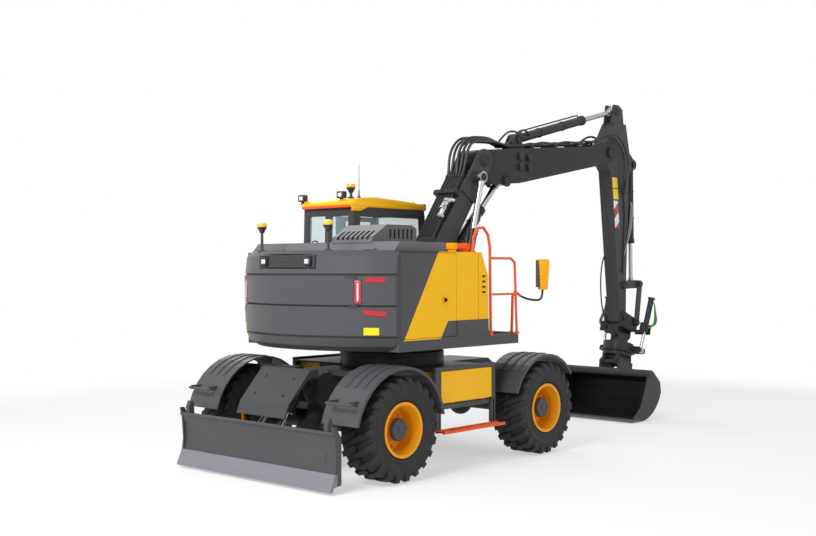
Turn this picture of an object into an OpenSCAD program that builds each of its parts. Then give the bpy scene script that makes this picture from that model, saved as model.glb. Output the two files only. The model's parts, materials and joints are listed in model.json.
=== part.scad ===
// Wheeled excavator with a two-piece boom, tilting rotating tool head and rear dozer blade.
// Millimetres, +X towards the boom end, +Y to the left, +Z up, standing on its wheels at z = 0.

/* [Stance] */
// Slew axis, measured from the middle of the machine's length
slew_x = -1720; // [-1800:10:-1600]
// Rear axle, behind the slew axis
rear_axle_x = -1300; // [-1400:10:-1200]
// Front axle, ahead of the slew axis
front_axle_x = 1328; // [1200:4:1400]
// Middle of a tyre, out from the centre line
track_half = 1165; // [1150:5:1180]

/* [Wheels] */
// Radius over the tread
tyre_r = 574; // [560:1:580]
// Width of a tyre
tyre_w = 470; // [440:5:480]
// Radius of the rim's flange
rim_r = 300; // [290:1:305]
// Lugs round one shoulder of a tyre
lug_count = 22; // [16:1:28]
// Height of a lug
lug_h = 30; // [20:1:36]
// Width of a lug along the tread
lug_w = 74; // [60:2:80]
// Slant of a lug across the tread
lug_slant = 24; // [0:2:30]

/* [Upper body] */
// Half of the upper body's width
body_half = 1250; // [1230:5:1270]
// Underside of the upper frame
deck_low = 1392; // [1390:1:1400]
// Top of the upper frame
deck_top = 1510; // [1500:2:1520]
// Top of the side bodies
body_top = 2490; // [2470:5:2500]
// Plan radius of the tail about the slew axis
tail_r = 1800; // [1760:10:1820]
// Front seam of the counterweight
tail_seam = -1250; // [-1260:5:-1240]
// Top of the cab's pillars
cab_top = 3060; // [3000:10:3080]
// Inner wall of the cab, out from the centre line
cab_in = 350; // [346:2:380]
// Rear wall of the cab
cab_rear = -350; // [-360:5:-340]

/* [Boom] */
// Half width of the base boom
base_half = 165; // [155:1:168]
// Half width of the front boom
front_half = 142; // [136:1:142]
// Half width of the arm
arm_half = 112; // [104:1:114]
// Middle of a lift cylinder, out from the centre line
lift_y = 265; // [262:1:268]
// Radius of the boom and arm cylinders
barrel_r = 62; // [56:1:64]
// Radius of the chromed rods
rod_r = 38; // [32:1:40]

/* [Tools] */
// Width of the bucket
bucket_w = 1520; // [1400:20:1700]
// Width of the dozer blade
blade_w = 2550; // [2400:10:2560]
// Middle of a tilt cylinder, out from the centre line
tilt_y = 360; // [350:5:370]

/* [Hidden] */
$fn = 48;
// Thickness of the welded plates
plate = 14;
// Clearance of a pin in its bore
fit = 0.5;

// Pins of the boom, as X and Z from the slew axis
foot = [280, 1850];
knuckle = [1620, 3740];
arm_pin = [4780, 4080];
tip = [5200, 1530];
lever_pin = [5200, 2040];
lever_end = [5620, 2050];
link_end = [5520, 1440];
bucket_cyl = [5580, 3950];
arm_cyl = [2520, 4100];
arm_eye = [5060, 4750];
lift_base = [950, 1620];
lift_eye = [1450, 3500];
adjust_base = [1120, 2460];
adjust_eye = [2140, 3500];
pin_r = 40;
hub_r = 95;

// Pins of the blade
blade_pin = [-1600, 640];
blade_cyl = [-1640, 1010];
blade_eye = [-2010, 520];
blade_arm_y = 300;
blade_cyl_y = 170;

// Directions along the base boom and square to it
boom_dir = (knuckle - foot) / norm(knuckle - foot);
boom_side = [-boom_dir[1], boom_dir[0]];
boom_len = norm(knuckle - foot);
function on_boom(along, side) = foot + along * boom_dir + side * boom_side;

// The tool head's own frame: forward along the hitch pins, up square to them
head_fwd = (link_end - tip) / norm(link_end - tip);
head_up = [-head_fwd[1], head_fwd[0]];
head_mid = (tip + link_end) / 2;
function on_head(fwd, up) = head_mid + fwd * head_fwd + up * head_up;
head_lean = atan2(head_fwd[1], head_fwd[0]);
tilt_up = -230;
tilt_fwd = 128;
trunnion_up = -60;
tilt_eye_up = -451;
tilt_eye_y = 330;

// Points of an outline moved inwards by a wall's thickness, outline given anticlockwise
function unit(v) = v / norm(v);
function left_of(v) = [-v[1], v[0]];
function inset(outline, wall) = let (count = len(outline)) [
    for (i = [0 : count - 1])
        let (before = left_of(unit(outline[i] - outline[(i + count - 1) % count])),
             after = left_of(unit(outline[(i + 1) % count] - outline[i])))
        outline[i] + wall * (before + after) / (1 + before * after)];
function arc(centre, r, from, to, steps = 8) = [
    for (i = [0 : steps]) let (a = from + (to - from) * i / steps)
        centre + r * [cos(a), sin(a)]];

// Moves what is drawn about the slew axis to its place in the machine's frame
module placed() { translate([slew_x, 0, 0]) children(); }
module both_sides() { children(); mirror([0, 1, 0]) children(); }
// A side outline in X and Z, drawn from one Y to another
module slab(outline, y0, y1) {
    translate([0, y1, 0]) rotate([90, 0, 0]) linear_extrude(y1 - y0) polygon(outline);
}
// A round bar across the machine
module bar(at, r, y0, y1) {
    translate([at[0], y0, at[1]]) rotate([-90, 0, 0]) cylinder(h = y1 - y0, r = r);
}
// A round bar from one point to another
module strut(from, to, r) {
    d = to - from;
    translate(from) rotate([0, acos(d[2] / norm(d)), atan2(d[1], d[0])])
        cylinder(h = norm(d), r = r);
}
// A tube through a row of points in space, with slightly swollen corners
module bent_tube(points, r) {
    for (i = [0 : len(points) - 2]) strut(points[i], points[i + 1], r);
    for (i = [1 : len(points) - 2]) translate(points[i]) sphere(r = r * 1.06);
}
// A hollow welded box with a given side outline
module box_beam(outline, half, wall) {
    difference() {
        slab(outline, -half, half);
        slab(inset(outline, wall), -half + wall, half - wall);
    }
}
// A flat bar with two round ends, between two pins
module strap(from, to, r, y0, y1) {
    along = unit(to - from);
    side = left_of(along) * r;
    slab([from - side, to - side, to + side, from + side], y0, y1);
    bar(from, r, y0, y1);
    bar(to, r, y0, y1);
}
// Draws its children along a line in X and Z, with +X pointing from one pin to the other
module along_pins(from, to, y = 0) {
    d = to - from;
    translate([from[0], y, from[1]]) rotate([0, -atan2(d[1], d[0]), 0]) children();
}
// A cylinder's barrel with its eye at the origin and its rod side towards +X
module barrel(length, r, bore, eye_half, eye_r, bored = true) {
    difference() {
        union() {
            bar([0, 0], eye_r, -eye_half, eye_half);
            translate([0, -eye_half, -eye_r * 0.6]) cube([eye_r + 20, 2 * eye_half, eye_r * 1.2]);
            translate([eye_r + 15, 0, 0]) rotate([0, 90, 0]) cylinder(h = length - eye_r - 15, r = r);
            translate([length - 70, 0, 0]) rotate([0, 90, 0]) cylinder(h = 70, r = r + 8);
        }
        translate([eye_r + 45, 0, 0]) rotate([0, 90, 0])
            cylinder(h = length - eye_r - 45 - 60, r = r - plate);
        translate([length - 70, 0, 0]) rotate([0, 90, 0]) cylinder(h = 90, r = bore + fit);
        if (bored) bar([0, 0], pin_r + fit, -eye_half - 1, eye_half + 1);
    }
}
// A rod with its eye at the origin and its shank towards -X; the pin is part of the eye
module rod(length, r, eye_half, eye_r) {
    bar([0, 0], eye_r, -eye_half, eye_half);
    translate([-length, 0, 0]) rotate([0, 90, 0]) cylinder(h = length, r = r);
    translate([-eye_r - 40, 0, 0]) rotate([0, 90, 0]) cylinder(h = 45, r = r + 10);
}

// Undercarriage
chassis_half = 330;
chassis_low = 700;
chassis_top = 1130;
module chassis_frame() {
    spine = [[-1560, 800], [-1440, chassis_low], [1500, chassis_low], [1640, 820], [1640, 1040],
        [1500, chassis_top], [-1500, chassis_top], [-1560, 1080]];
    color("#3a3a3c") placed() {
        difference() {
            union() {
                box_beam(spine, chassis_half, plate);
                // Turret under the slew ring, and the shelves that carry the boxes
                translate([0, 0, 1100]) cylinder(h = 135, r = 640);
                both_sides() translate([-560, chassis_half - 1, 742]) cube([1120, 820, 20]);
                both_sides() translate([-560, chassis_half - 1, 1132]) cube([1120, 830, 18]);
                both_sides() for (x = [-540, 520]) translate([x, chassis_half - 1, 760])
                    cube([20, 400, 374]);
                // Rear brackets that carry the blade's arms and its cylinders
                both_sides() slab([[-1690, 560], [-1500, 560], [-1400, 700], [-1400, 1100],
                    [-1720, 1100], [-1720, 940], [-1620, 800]], 228, 258);
                // Brackets over the rear axle that carry the fenders
                both_sides() translate([rear_axle_x - 60, chassis_half - 60, 1100])
                    cube([120, fender_y0 + 76 - chassis_half, 60]);
                // Tie-down lugs at the front
                both_sides() translate([1620, 190, 905]) cube([140, 120, 30]);
                // Axle saddles
                for (x = [rear_axle_x, front_axle_x]) for (y = [-300, 200])
                    translate([x - 110, y, 600]) cube([220, 100, 110]);
                blade_cover();
            }
            translate([0, 0, 1000]) cylinder(h = 300, r = 420);
            bar([rear_axle_x, axle_z], rear_beam_r + fit, -400, 400);
            bar([front_axle_x, axle_z], front_beam_r + fit, -400, 400);
            both_sides() bar(blade_pin, pin_r + fit, 200, 290);
            both_sides() bar(blade_cyl, pin_r + fit, 200, 290);
            both_sides() translate([1700, 250, 890]) cylinder(h = 60, r = 32);
        }
    }
}
// Folded guard over the blade's cylinders
module blade_cover() {
    top = [-1640, 1180];
    shoulder = [-1750, 1180];
    knee = [-2070, 830];
    low = [-2128, 690];
    skin = 18;
    outline = [low, knee, shoulder, top, top - [0, skin], shoulder + [8, -skin], knee + [16, -6],
        low + [17, -6]];
    difference() {
        slab([for (i = [len(outline) - 1 : -1 : 0]) outline[i]], -400, 400);
        for (x = [-1830, -1990]) for (y = [-230, 230])
            translate([x, y, 700]) cylinder(h = 600, r = 16);
    }
    both_sides() slab([[-1640, 1090], [-1640, 1180], [-1750, 1180], [-2000, 905], [-1980, 895],
        [-1760, 1090]], 382, 400);
    both_sides() translate([-1700, 250, 1085]) cube([70, 150, 96]);
}
module slew_ring() {
    bolts = 36;
    color("#2b2b2d") placed() difference() {
        union() {
            translate([0, 0, 1235]) cylinder(h = 60, r = 640);
            translate([0, 0, 1294]) cylinder(h = deck_low - 1294 - 2, r = 575);
            for (i = [0 : bolts - 1]) rotate([0, 0, i * 360 / bolts])
                translate([608, 0, 1290]) cylinder(h = 22, r = 14, $fn = 6);
        }
        translate([0, 0, 1200]) cylinder(h = 300, r = 430);
    }
}
axle_z = tyre_r;
kingpin_y = 880;
rear_beam_r = 105;
front_beam_r = 95;
module axles() {
    color("#2f2f31") placed() {
        // Rear housing
        bar([rear_axle_x, axle_z], rear_beam_r, -1040, 1040);
        both_sides() bar([rear_axle_x, axle_z], 165, 960, 1040);
        translate([rear_axle_x, 0, axle_z - 40]) sphere(r = 160);
        // Front housing with its forked ends
        bar([front_axle_x, axle_z], front_beam_r, -790, 790);
        translate([front_axle_x, 0, axle_z - 40]) sphere(r = 155);
        both_sides() translate([front_axle_x - 75, 730, axle_z - 190]) cube([150, 60, 380]);
        both_sides() for (z = [axle_z - 190, axle_z + 140])
            translate([front_axle_x, kingpin_y, z]) cylinder(h = 50, r = 75);
        both_sides() for (z = [axle_z - 190, axle_z + 140])
            translate([front_axle_x - 75, 780, z]) cube([150, kingpin_y - 780, 50]);
        // Gearbox and propeller shafts
        translate([-560, -200, 430]) cube([420, 400, chassis_low - 430]);
        translate([-700, 0, 520]) rotate([0, 90, 0]) cylinder(h = 220, r = 90);
        strut([rear_axle_x + 100, 0, axle_z - 40], [-690, 0, 520], 45);
        strut([-150, 0, 520], [front_axle_x - 100, 0, axle_z - 40], 45);
        // Steering ram
        both_sides() strut([front_axle_x + 170, 0, axle_z], [front_axle_x + 170, 560, axle_z], 38);
        both_sides() translate([front_axle_x + 80, 200, axle_z - 35]) cube([90, 40, 56]);
    }
}
// One fender: a curved sheet about an axle, its radius growing from one end to the other
fender_y0 = 870;
fender_y1 = 1385;
module fender(axle_x, r_front, r_top, r_rear, a_front, a_rear) {
    skin = 16;
    steps = 14;
    function bow(a) = a < 90 ? r_top + (r_front - r_top) * pow((90 - a) / (90 - a_front), 2)
        : r_top + (r_rear - r_top) * pow((a - 90) / (a_rear - 90), 2);
    function sheet_point(i, out) = let (a = a_front + (a_rear - a_front) * i / steps)
        [axle_x, axle_z] + (bow(a) + out) * [cos(a), sin(a)];
    function sheet_band(first, last, low, high) = concat(
        [for (i = [first : last]) sheet_point(i, high)], [for (i = [last : -1 : first]) sheet_point(i, low)]);
    slab(sheet_band(0, steps, 0, skin), fender_y0, fender_y1);
    // Rolled edge along the outside
    slab(sheet_band(0, steps, -14, skin), fender_y1, fender_y1 + 14);
    // Web that stands on the chassis bracket
    slab([[axle_x - 110, 1160], [axle_x + 110, 1160], [axle_x + 110, axle_z + r_top + 3],
        [axle_x - 110, axle_z + r_top + 3]], fender_y0, fender_y0 + 16);
    // Pressed ribs
    for (y = [1000, 1130, 1260]) slab(sheet_band(5, steps - 3, skin - 2, skin + 10), y, y + 34);
}
module fenders() {
    color("#39393b") placed() {
        both_sides() fender(rear_axle_x, 650, 661, 722, 10, 172);
        // Tube on two brackets across the back of each rear fender
        both_sides() {
            bar([-2052, 900], 14, 960, 1350);
            for (y = [1000, 1300]) translate([-2062, y, 880]) cube([150, 14, 50]);
        }
    }
}
step_top = 474;
module steps() {
    long = 1120;
    hangers = [-500, 490];
    color("#e8531c") placed() both_sides() {
        for (y = [1190, 1300]) translate([-565, y, step_top - 34]) cube([long, 26, 34]);
        for (i = [0 : 4]) translate([-565 + i * (long - 32) / 4, 1190, step_top - 26]) cube([32, 136, 18]);
        // Hangers and their feet under the shelf
        for (x = hangers) translate([x, 1150, step_top - 34]) cube([30, 45, 302]);
        for (x = hangers) translate([x - 25, 1040, 722]) cube([80, 155, 20]);
    }
}
box_x0 = -470;
box_x1 = 460;
box_z0 = 762;
box_z1 = 1132;
module toolboxes() {
    color("#f0a818") placed() both_sides() difference() {
        translate([box_x0, 740, box_z0]) cube([box_x1 - box_x0, 430, box_z1 - box_z0]);
        translate([box_x0 + 16, 756, box_z0 + 16])
            cube([box_x1 - box_x0 - 32, 460, box_z1 - box_z0 - 32]);
    }
}
module toolbox_lid() {
    translate([box_x0 + 4, 1174, box_z0 + 14]) cube([box_x1 - box_x0 - 8, 22, box_z1 - box_z0 - 20]);
    for (x = [-240, 230]) translate([x - 35, 1194, box_z1 - 80]) cube([70, 10, 40]);
    for (x = [-300, 260]) translate([x, 1187, box_z0 + 12]) rotate([0, 90, 0])
        cylinder(h = 60, r = 11);
}
module toolbox_lid_left() { color("#f0a818") placed() toolbox_lid(); }
module toolbox_lid_right() { color("#f0a818") placed() mirror([0, 1, 0]) toolbox_lid(); }

module knuckle() {
    difference() {
        union() {
            translate([front_axle_x, kingpin_y, axle_z - 135]) cylinder(h = 270, r = 62);
            bar([front_axle_x, axle_z], 120, kingpin_y, 1010);
            bar([front_axle_x, axle_z], 165, 1000, 1040);
            translate([front_axle_x + 40, kingpin_y - 30, axle_z - 20]) cube([140, 40, 40]);
            // Fender that steers with the wheel, on a post beside the fork
            fender(front_axle_x, 648, 653, 664, 37, 160);
            translate([front_axle_x + 95, kingpin_y + 4, axle_z - 40]) cube([40, 26, 690]);
        }
        translate([front_axle_x, kingpin_y, axle_z - 200]) cylinder(h = 400, r = 30);
    }
}
module knuckle_left() { color("#2f2f31") placed() knuckle(); }
module knuckle_right() { color("#2f2f31") placed() mirror([0, 1, 0]) knuckle(); }

// Wheels, drawn about their own axis with the outer face towards +Y
module rim() {
    half = tyre_w / 2 - 17;
    well = 248;
    wheel_nuts = 10;
    rotate([-90, 0, 0]) {
        // Barrel with flanges and a drop well
        rotate_extrude($fn = 96) polygon([[well, -half + 60], [rim_r - 32, -half], [rim_r, -half],
            [rim_r, -half + 14], [rim_r - 18, -half + 14], [well + 12, -half + 66],
            [well + 12, half - 100], [rim_r - 18, half - 14], [rim_r, half - 14], [rim_r, half],
            [rim_r - 32, half], [well, half - 106]]);
        // Dished disc and hub
        rotate_extrude($fn = 96) polygon([[0, -124], [170, -124], [176, -60], [250, -40], [250, -16],
            [165, -30], [150, 20], [128, 30], [120, 132], [104, 150], [0, 150]]);
        for (i = [0 : wheel_nuts - 1]) rotate([0, 0, i * 360 / wheel_nuts]) translate([208, 0, -40])
            cylinder(h = 42, r = 16, $fn = 6);
    }
}
module tyre() {
    half = tyre_w / 2;
    bead = rim_r + 4;
    skin = 42;
    body = tyre_r - lug_h;
    lug_long = half + 14;
    outer = [[bead, -half + 34], [bead + 60, -half + 6], [bead + 130, -half], [body - 70, -half + 6],
        [body - 14, -half + 36], [body, -half + 80], [body, half - 80], [body - 14, half - 36],
        [body - 70, half - 6], [bead + 130, half], [bead + 60, half - 6], [bead, half - 34]];
    inner = [[bead, half - 34 - skin], [bead + 70, half - skin - 4], [body - 90, half - skin - 4],
        [body - skin, half - 110], [body - skin, -half + 110], [body - 90, -half + skin + 4],
        [bead + 70, -half + skin + 4], [bead, -half + 34 + skin]];
    rotate([-90, 0, 0]) {
        rotate_extrude($fn = 96) polygon(concat(outer, inner));
        // Slanted lugs, staggered between the two shoulders
        for (side = [-1, 1]) for (i = [0 : lug_count - 1])
            rotate([0, 0, (i + side / 4) * 360 / lug_count]) rotate([side * lug_slant, 0, 0])
                translate([body - 34, -lug_w / 2, side > 0 ? -20 : 20 - lug_long])
                    cube([tyre_r - 2 - body + 34, lug_w, lug_long]);
    }
}
module at_wheel(x, side) {
    translate([x, side * track_half, axle_z]) mirror([0, side < 0 ? 1 : 0, 0]) children();
}
module rim_front_left() { color("#f0a818") placed() at_wheel(front_axle_x, 1) rim(); }
module rim_front_right() { color("#f0a818") placed() at_wheel(front_axle_x, -1) rim(); }
module rim_rear_left() { color("#f0a818") placed() at_wheel(rear_axle_x, 1) rim(); }
module rim_rear_right() { color("#f0a818") placed() at_wheel(rear_axle_x, -1) rim(); }
module tyre_front_left() { color("#1d1d1e") placed() at_wheel(front_axle_x, 1) tyre(); }
module tyre_front_right() { color("#1d1d1e") placed() at_wheel(front_axle_x, -1) tyre(); }
module tyre_rear_left() { color("#1d1d1e") placed() at_wheel(rear_axle_x, 1) tyre(); }
module tyre_rear_right() { color("#1d1d1e") placed() at_wheel(rear_axle_x, -1) tyre(); }

// Dozer blade with its two arms
blade_low = 30;
blade_high = 620;
module blade() {
    steps = 10;
    sag = 78;
    function face(i) = let (f = i / steps) [-2284 + 46 * f + sag * (1 - pow(2 * f - 1, 2)),
        blade_low + (blade_high - blade_low) * f];
    front = [for (i = [0 : steps]) face(i)];
    back = [for (i = [steps : -1 : 0]) face(i) + [26, 0]];
    color("#3a3a3c") placed() {
        slab(concat(back, front), -blade_w / 2, blade_w / 2);
        // Cutting edge and top bead
        slab([[-2296, blade_low], [-2250, blade_low], [-2196, 205], [-2222, 205]],
            -blade_w / 2, blade_w / 2);
        bar([-2224, blade_high - 4], 22, -blade_w / 2, blade_w / 2);
        // End plates, and a stop on top near each end
        both_sides() slab([[-2274, 70], [-2130, 90], [-2130, 560], [-2200, 690], [-2252, 690],
            [-2222, 560], [-2206, 330], [-2222, 190]], blade_w / 2 - 24, blade_w / 2);
        both_sides() slab([[-2236, 700], [-2212, 560], [-2150, 560], [-2166, 740], [-2184, 772],
            [-2206, 772]], 1120, 1180);
        // Stiffening boxes across the back
        slab([[-2190, 190], [-2110, 210], [-2110, 420], [-2185, 440]], -1100, 1100);
        slab([[-2120, 300], [-2050, 320], [-2050, 400], [-2120, 420]], -300, 300);
        both_sides() {
            strap(blade_pin, [-2110, 330], 62, blade_arm_y - 36, blade_arm_y + 36);
            slab([[-2120, 230], [-1900, 330], [-1900, 450], [-2120, 405]],
                blade_arm_y - 36, blade_arm_y + 36);
            // Lugs beside each cylinder's rod eye
            for (y = [blade_cyl_y - 62, blade_cyl_y + 42])
                slab([[-2120, 300], [-2000, 410], blade_eye + [62, 0], blade_eye + [20, 60],
                    blade_eye + [-45, 30], [-2070, 430], [-2120, 380]], y, y + 20);
            bar(blade_pin, pin_r - fit, 222, blade_arm_y + 46);
        }
    }
}
blade_cyl_len = norm(blade_eye - blade_cyl);
module blade_barrels() {
    color("#2b2b2d") placed() both_sides() along_pins(blade_cyl, blade_eye, blade_cyl_y)
        barrel(blade_cyl_len * 0.6, 48, 26, 36, 56, false);
    color("#2b2b2d") placed() both_sides() bar(blade_cyl, pin_r - fit, blade_cyl_y, 262);
}
module blade_rods() {
    color("#c9c9cc") placed() both_sides() along_pins(blade_cyl, blade_eye, blade_cyl_y)
        translate([blade_cyl_len, 0, 0]) rod(blade_cyl_len * 0.6, 26, 34, 46);
}

// Upper frame with the boom's ears and the deck ahead of the right body
ear_y0 = 190;
ear_y1 = 222;
module house_frame() {
    deck = [[-1240, -body_half], [920, -body_half], [1010, -1160], [1010, -cab_in], [640, -300],
        [640, 300], [1150, cab_in], [1150, 1170], [1070, body_half], [-1240, body_half]];
    lug_r = 84;
    ear = concat([[-300, deck_top - 5], [lift_base[0] + 110, deck_top - 5]],
        arc(lift_base, lug_r, -20, 125), [foot + [150, 0]], arc(foot, 150, 20, 150),
        [[-120, deck_top + 120]]);
    color("#39393b") placed() {
        difference() {
            union() {
                difference() {
                    translate([0, 0, deck_low]) linear_extrude(deck_top - deck_low) polygon(deck);
                    translate([0, 0, deck_low + plate])
                        linear_extrude(deck_top - deck_low - 2 * plate) polygon(inset(deck, plate));
                }
                both_sides() slab(ear, ear_y0, ear_y1);
                both_sides() slab(concat([[lift_base[0] - 140, deck_top - 5],
                    [lift_base[0] + 110, deck_top - 5]], arc(lift_base, lug_r, -10, 190)), 306, 330);
                both_sides() translate([600, ear_y0, deck_low]) cube([460, 140, deck_top - deck_low]);
                translate([-320, -ear_y1, deck_top - 5]) cube([20, 2 * ear_y1, 160]);
                // Pins of the lift cylinders
                both_sides() bar(lift_base, pin_r - fit, ear_y0, 336);
                // Tread plate of the front step
                translate([430, -1200, deck_top - 1]) cube([450, 660, 7]);
            }
            bar(foot, 50 + fit, -300, 300);
        }
    }
}
tail_lamp_turn = 31;
module counterweight() {
    low = deck_low;
    high = 2500;
    wall = 210;
    color("#39393b") placed() difference() {
        intersection() {
            rotate_extrude($fn = 128) polygon([[900, low], [tail_r - 150, low], [tail_r - 60, low + 60],
                [tail_r - 24, 1540], [tail_r - 40, 1548], [tail_r - 14, 1570], [tail_r - 6, 1880],
                [tail_r - 30, 1890], [tail_r - 6, 1905], [tail_r, 2215], [tail_r - 26, 2230],
                [tail_r - 8, 2246], [tail_r - 30, 2440], [tail_r - 90, high], [900, high]]);
            translate([-2000, -body_half, low]) cube([2000 + tail_seam, 2 * body_half, high - low]);
        }
        // The casting is hollow towards the engine
        translate([0, 0, low + 150]) cylinder(h = high - low - 250, r = tail_r - wall);
        // Recess for the panel of work lamps, high in the middle
        rotate([0, 0, 180]) translate([1700, -480, 2298]) cube([200, 940, 164]);
        // Lamp recesses in both corners
        both_sides() rotate([0, 0, 180 - tail_lamp_turn]) translate([tail_r - 60, -46, 1915])
            cube([100, 92, 262]);
    }
}
module engine_block() {
    color("#4a4a4c") placed() translate([-1180, -420, deck_top]) cube([760, 900, 870]);
}
// Engine hood with the louvred intake hump, hinged at its rear edge
hood_x0 = -1238;
hood_x1 = -372;
module hood_hump() {
    side = [[-1160, 2590], [-400, 2590], [-400, 2760], [-480, 2800], [-900, 2800], [-1130, 2660]];
    difference() {
        slab(side, -760, -120);
        slab(inset(side, 20), -740, -140);
        for (i = [0 : 5]) translate([-860 + i * 72, -800, 2640]) cube([34, 90, 110]);
        for (i = [0 : 6]) translate([-1180, -700 + i * 78, 2600])
            rotate([0, -58, 0]) translate([40, 0, -90]) cube([150, 40, 120]);
    }
}
module engine_hood() {
    top = [[hood_x0, 2494], [hood_x1, 2494], [hood_x1, 2580], [hood_x1 - 30, 2600], [-1140, 2600]];
    color("#39393b") placed() {
        difference() {
            slab(top, -1180, 1180);
            slab([[hood_x0 + 60, 2480], [hood_x1 - 20, 2480], [hood_x1 - 20, 2580], [-1130, 2580]],
                -1160, 1160);
        }
        hood_hump();
        for (y = [-900, 600]) bar([hood_x0 + 4, 2514], 14, y, y + 180);
    }
}
// Right body: tanks and stores beside the boom
body_in = 430;
right_front = [[339, deck_top], [320, 2220], [196, body_top]];
module right_body() {
    outline = concat([[-1245, deck_top]], right_front, [[-1245, body_top]]);
    color("#f5b51d") placed() {
        difference() {
            slab(outline, -body_half, -body_in);
            slab(inset(outline, 20), -body_half + 20, -body_in - 20);
            // Door opening, and the slots of the front grille
            translate([-1222, -body_half - 10, 1524]) cube([960, 40, 956]);
            for (i = [0 : 3]) translate([210, -body_half - 10, 2010 + i * 62]) cube([70, 40, 26]);
            translate([130, -body_half - 10, 1530]) cube([16, 18, 940]);
            // Bare top under the hood
            translate([-1225, -body_half + 40, 2400]) cube([850, 760, 200]);
        }
        // Filler caps, each on a neck
        for (x = [-140, 88]) {
            translate([x, -1080, body_top - 1]) cylinder(h = 40, r = 52);
            translate([x, -1080, body_top + 38]) cylinder(h = 68, r = 70);
        }
        // Dark lower band
        slab([[-245, 1524], [325, 1524], [322, 1705], [-245, 1705]], -body_half - 6, -body_half + 4);
    }
}
module right_door() {
    color("#f5b51d") placed() {
        translate([-1216, -body_half, 1530]) cube([948, 24, 944]);
        slab([[-505, 1545], [-290, 1545], [-290, 1705], [-400, 1705]], -body_half - 6, -body_half + 2);
        translate([-500, -body_half - 10, 1925]) cube([70, 14, 40]);
        for (z = [1620, 2360]) translate([-1206, -body_half - 4, z]) cylinder(h = 60, r = 10);
    }
}
module left_body() {
    color("#39393b") placed() {
        outline = [[-1245, deck_top], [-375, deck_top], [-375, body_top], [-1245, body_top]];
        difference() {
            slab(outline, body_in + 60, body_half);
            slab(inset(outline, 20), body_in + 80, body_half - 20);
            translate([-1222, body_half - 30, 1524]) cube([820, 40, 956]);
            translate([-1225, body_in + 100, 2400]) cube([830, body_half - body_in - 140, 200]);
        }
    }
}
module left_door() {
    color("#39393b") placed() difference() {
        union() {
            translate([-1216, body_half - 24, 1530]) cube([808, 24, 944]);
            for (z = [1620, 2360]) translate([-1206, body_half + 4, z]) cylinder(h = 60, r = 10);
            translate([-480, body_half - 4, 1925]) cube([50, 14, 70]);
        }
        for (i = [0 : 7]) translate([-1120, body_half - 40, 1640 + i * 84]) cube([560, 60, 36]);
    }
}

// Cab
cab_front = [[1120, deck_top], [1150, 1900], [1000, cab_top]];
cab_wall = 46;
cab_outline = concat([[cab_rear, deck_top]], cab_front, [[cab_rear + 40, cab_top]]);
door_x0 = 330;
door_x1 = 1040;
module cab_shell() {
    rear_split = (cab_in + body_half) / 2;
    color("#39393b") placed() {
        difference() {
            slab(cab_outline, cab_in, body_half);
            slab(inset(cab_outline, cab_wall), cab_in + cab_wall, body_half - cab_wall);
            // Two rear windows with a post between them
            for (y = [cab_in + 70, rear_split + 30]) translate([cab_rear - 60, y, 2330])
                cube([200, rear_split - cab_in - 100, cab_top - 2330 - 70]);
            // Right window, left rear window and door opening
            slab([[-230, 2250], [960, 2250], [930, cab_top - 80], [-230, cab_top - 80]],
                cab_in - 10, cab_in + cab_wall + 10);
            slab([[-240, 2250], [250, 2250], [250, cab_top - 80], [-220, cab_top - 80]],
                body_half - cab_wall - 10, body_half + 10);
            slab([[door_x0, 1570], [1060, 1570], [1075, 1900], [955, cab_top - 60],
                [door_x0, cab_top - 60]], body_half - cab_wall - 10, body_half + 10);
            // Windscreen
            translate([900, cab_in + 60, 1640])
                cube([400, body_half - cab_in - 120, cab_top - 1640 - 70]);
        }
        // Seat base and the two armrest consoles
        translate([120, 620, 1540]) cube([420, 400, 302]);
        for (y = [500, 1060]) translate([180, y, 1820]) cube([460, 80, 220]);
        for (y = [540, 1100]) translate([600, y, 2038]) cylinder(h = 130, r = 18);
        translate([170, 500, 1800]) cube([60, 640, 40]);
        // Steering column
        strut([900, 820, 1545], [780, 820, 2150], 30);
        translate([780, 820, 2150]) rotate([0, -25, 0])
            rotate_extrude() translate([170, 0]) circle(r = 16);
        translate([770, 650, 2140]) rotate([0, -25, 0]) cube([20, 340, 20]);
    }
}
roof_top = cab_top + 132;
module cab_roof() {
    low = cab_top;
    crown = [[cab_rear - 10, low], [1040, low], [1050, low + 50], [960, roof_top], [-290, roof_top],
        [cab_rear - 10, low + 60]];
    color("#f5b51d") placed() slab(crown, cab_in - 10, body_half);
}
module cab_glass() {
    rear_split = (cab_in + body_half) / 2;
    color("#8fa3a8") placed() {
        for (y = [cab_in + 70, rear_split + 30]) slab([[cab_rear + 30, 2330], [cab_rear + 38, 2330],
            [cab_rear + 56, cab_top - 70], [cab_rear + 48, cab_top - 70]],
            y, y + rear_split - cab_in - 100);
        slab([[-230, 2250], [960, 2250], [930, cab_top - 80], [-230, cab_top - 80]],
            cab_in + 18, cab_in + 26);
        slab([[-240, 2250], [250, 2250], [250, cab_top - 80], [-220, cab_top - 80]],
            body_half - 26, body_half - 18);
        slab([[1112, 1640], [1133, 1900], [996, cab_top - 70], [986, cab_top - 70], [1123, 1900],
            [1102, 1640]], cab_in + 60, body_half - 60);
    }
}
door_outline = [[door_x0 + 8, 1578], [1052, 1578], [1067, 1900], [948, cab_top - 68],
    [door_x0 + 8, cab_top - 68]];
door_pane = [[door_x0 + 70, 1700], [985, 1700], [1003, 1890], [903, cab_top - 130],
    [door_x0 + 70, cab_top - 130]];
module cab_door() {
    color("#39393b") placed() {
        difference() {
            slab(door_outline, body_half - 42, body_half);
            slab(door_pane, body_half - 60, body_half + 10);
        }
        for (z = [1700, 2600]) translate([door_x0 + 20, body_half + 4, z]) cylinder(h = 80, r = 11);
        translate([930, body_half - 4, 2010]) cube([70, 30, 40]);
    }
}
module door_glass() {
    color("#8fa3a8") placed() slab(door_pane, body_half - 26, body_half - 18);
}
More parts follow.
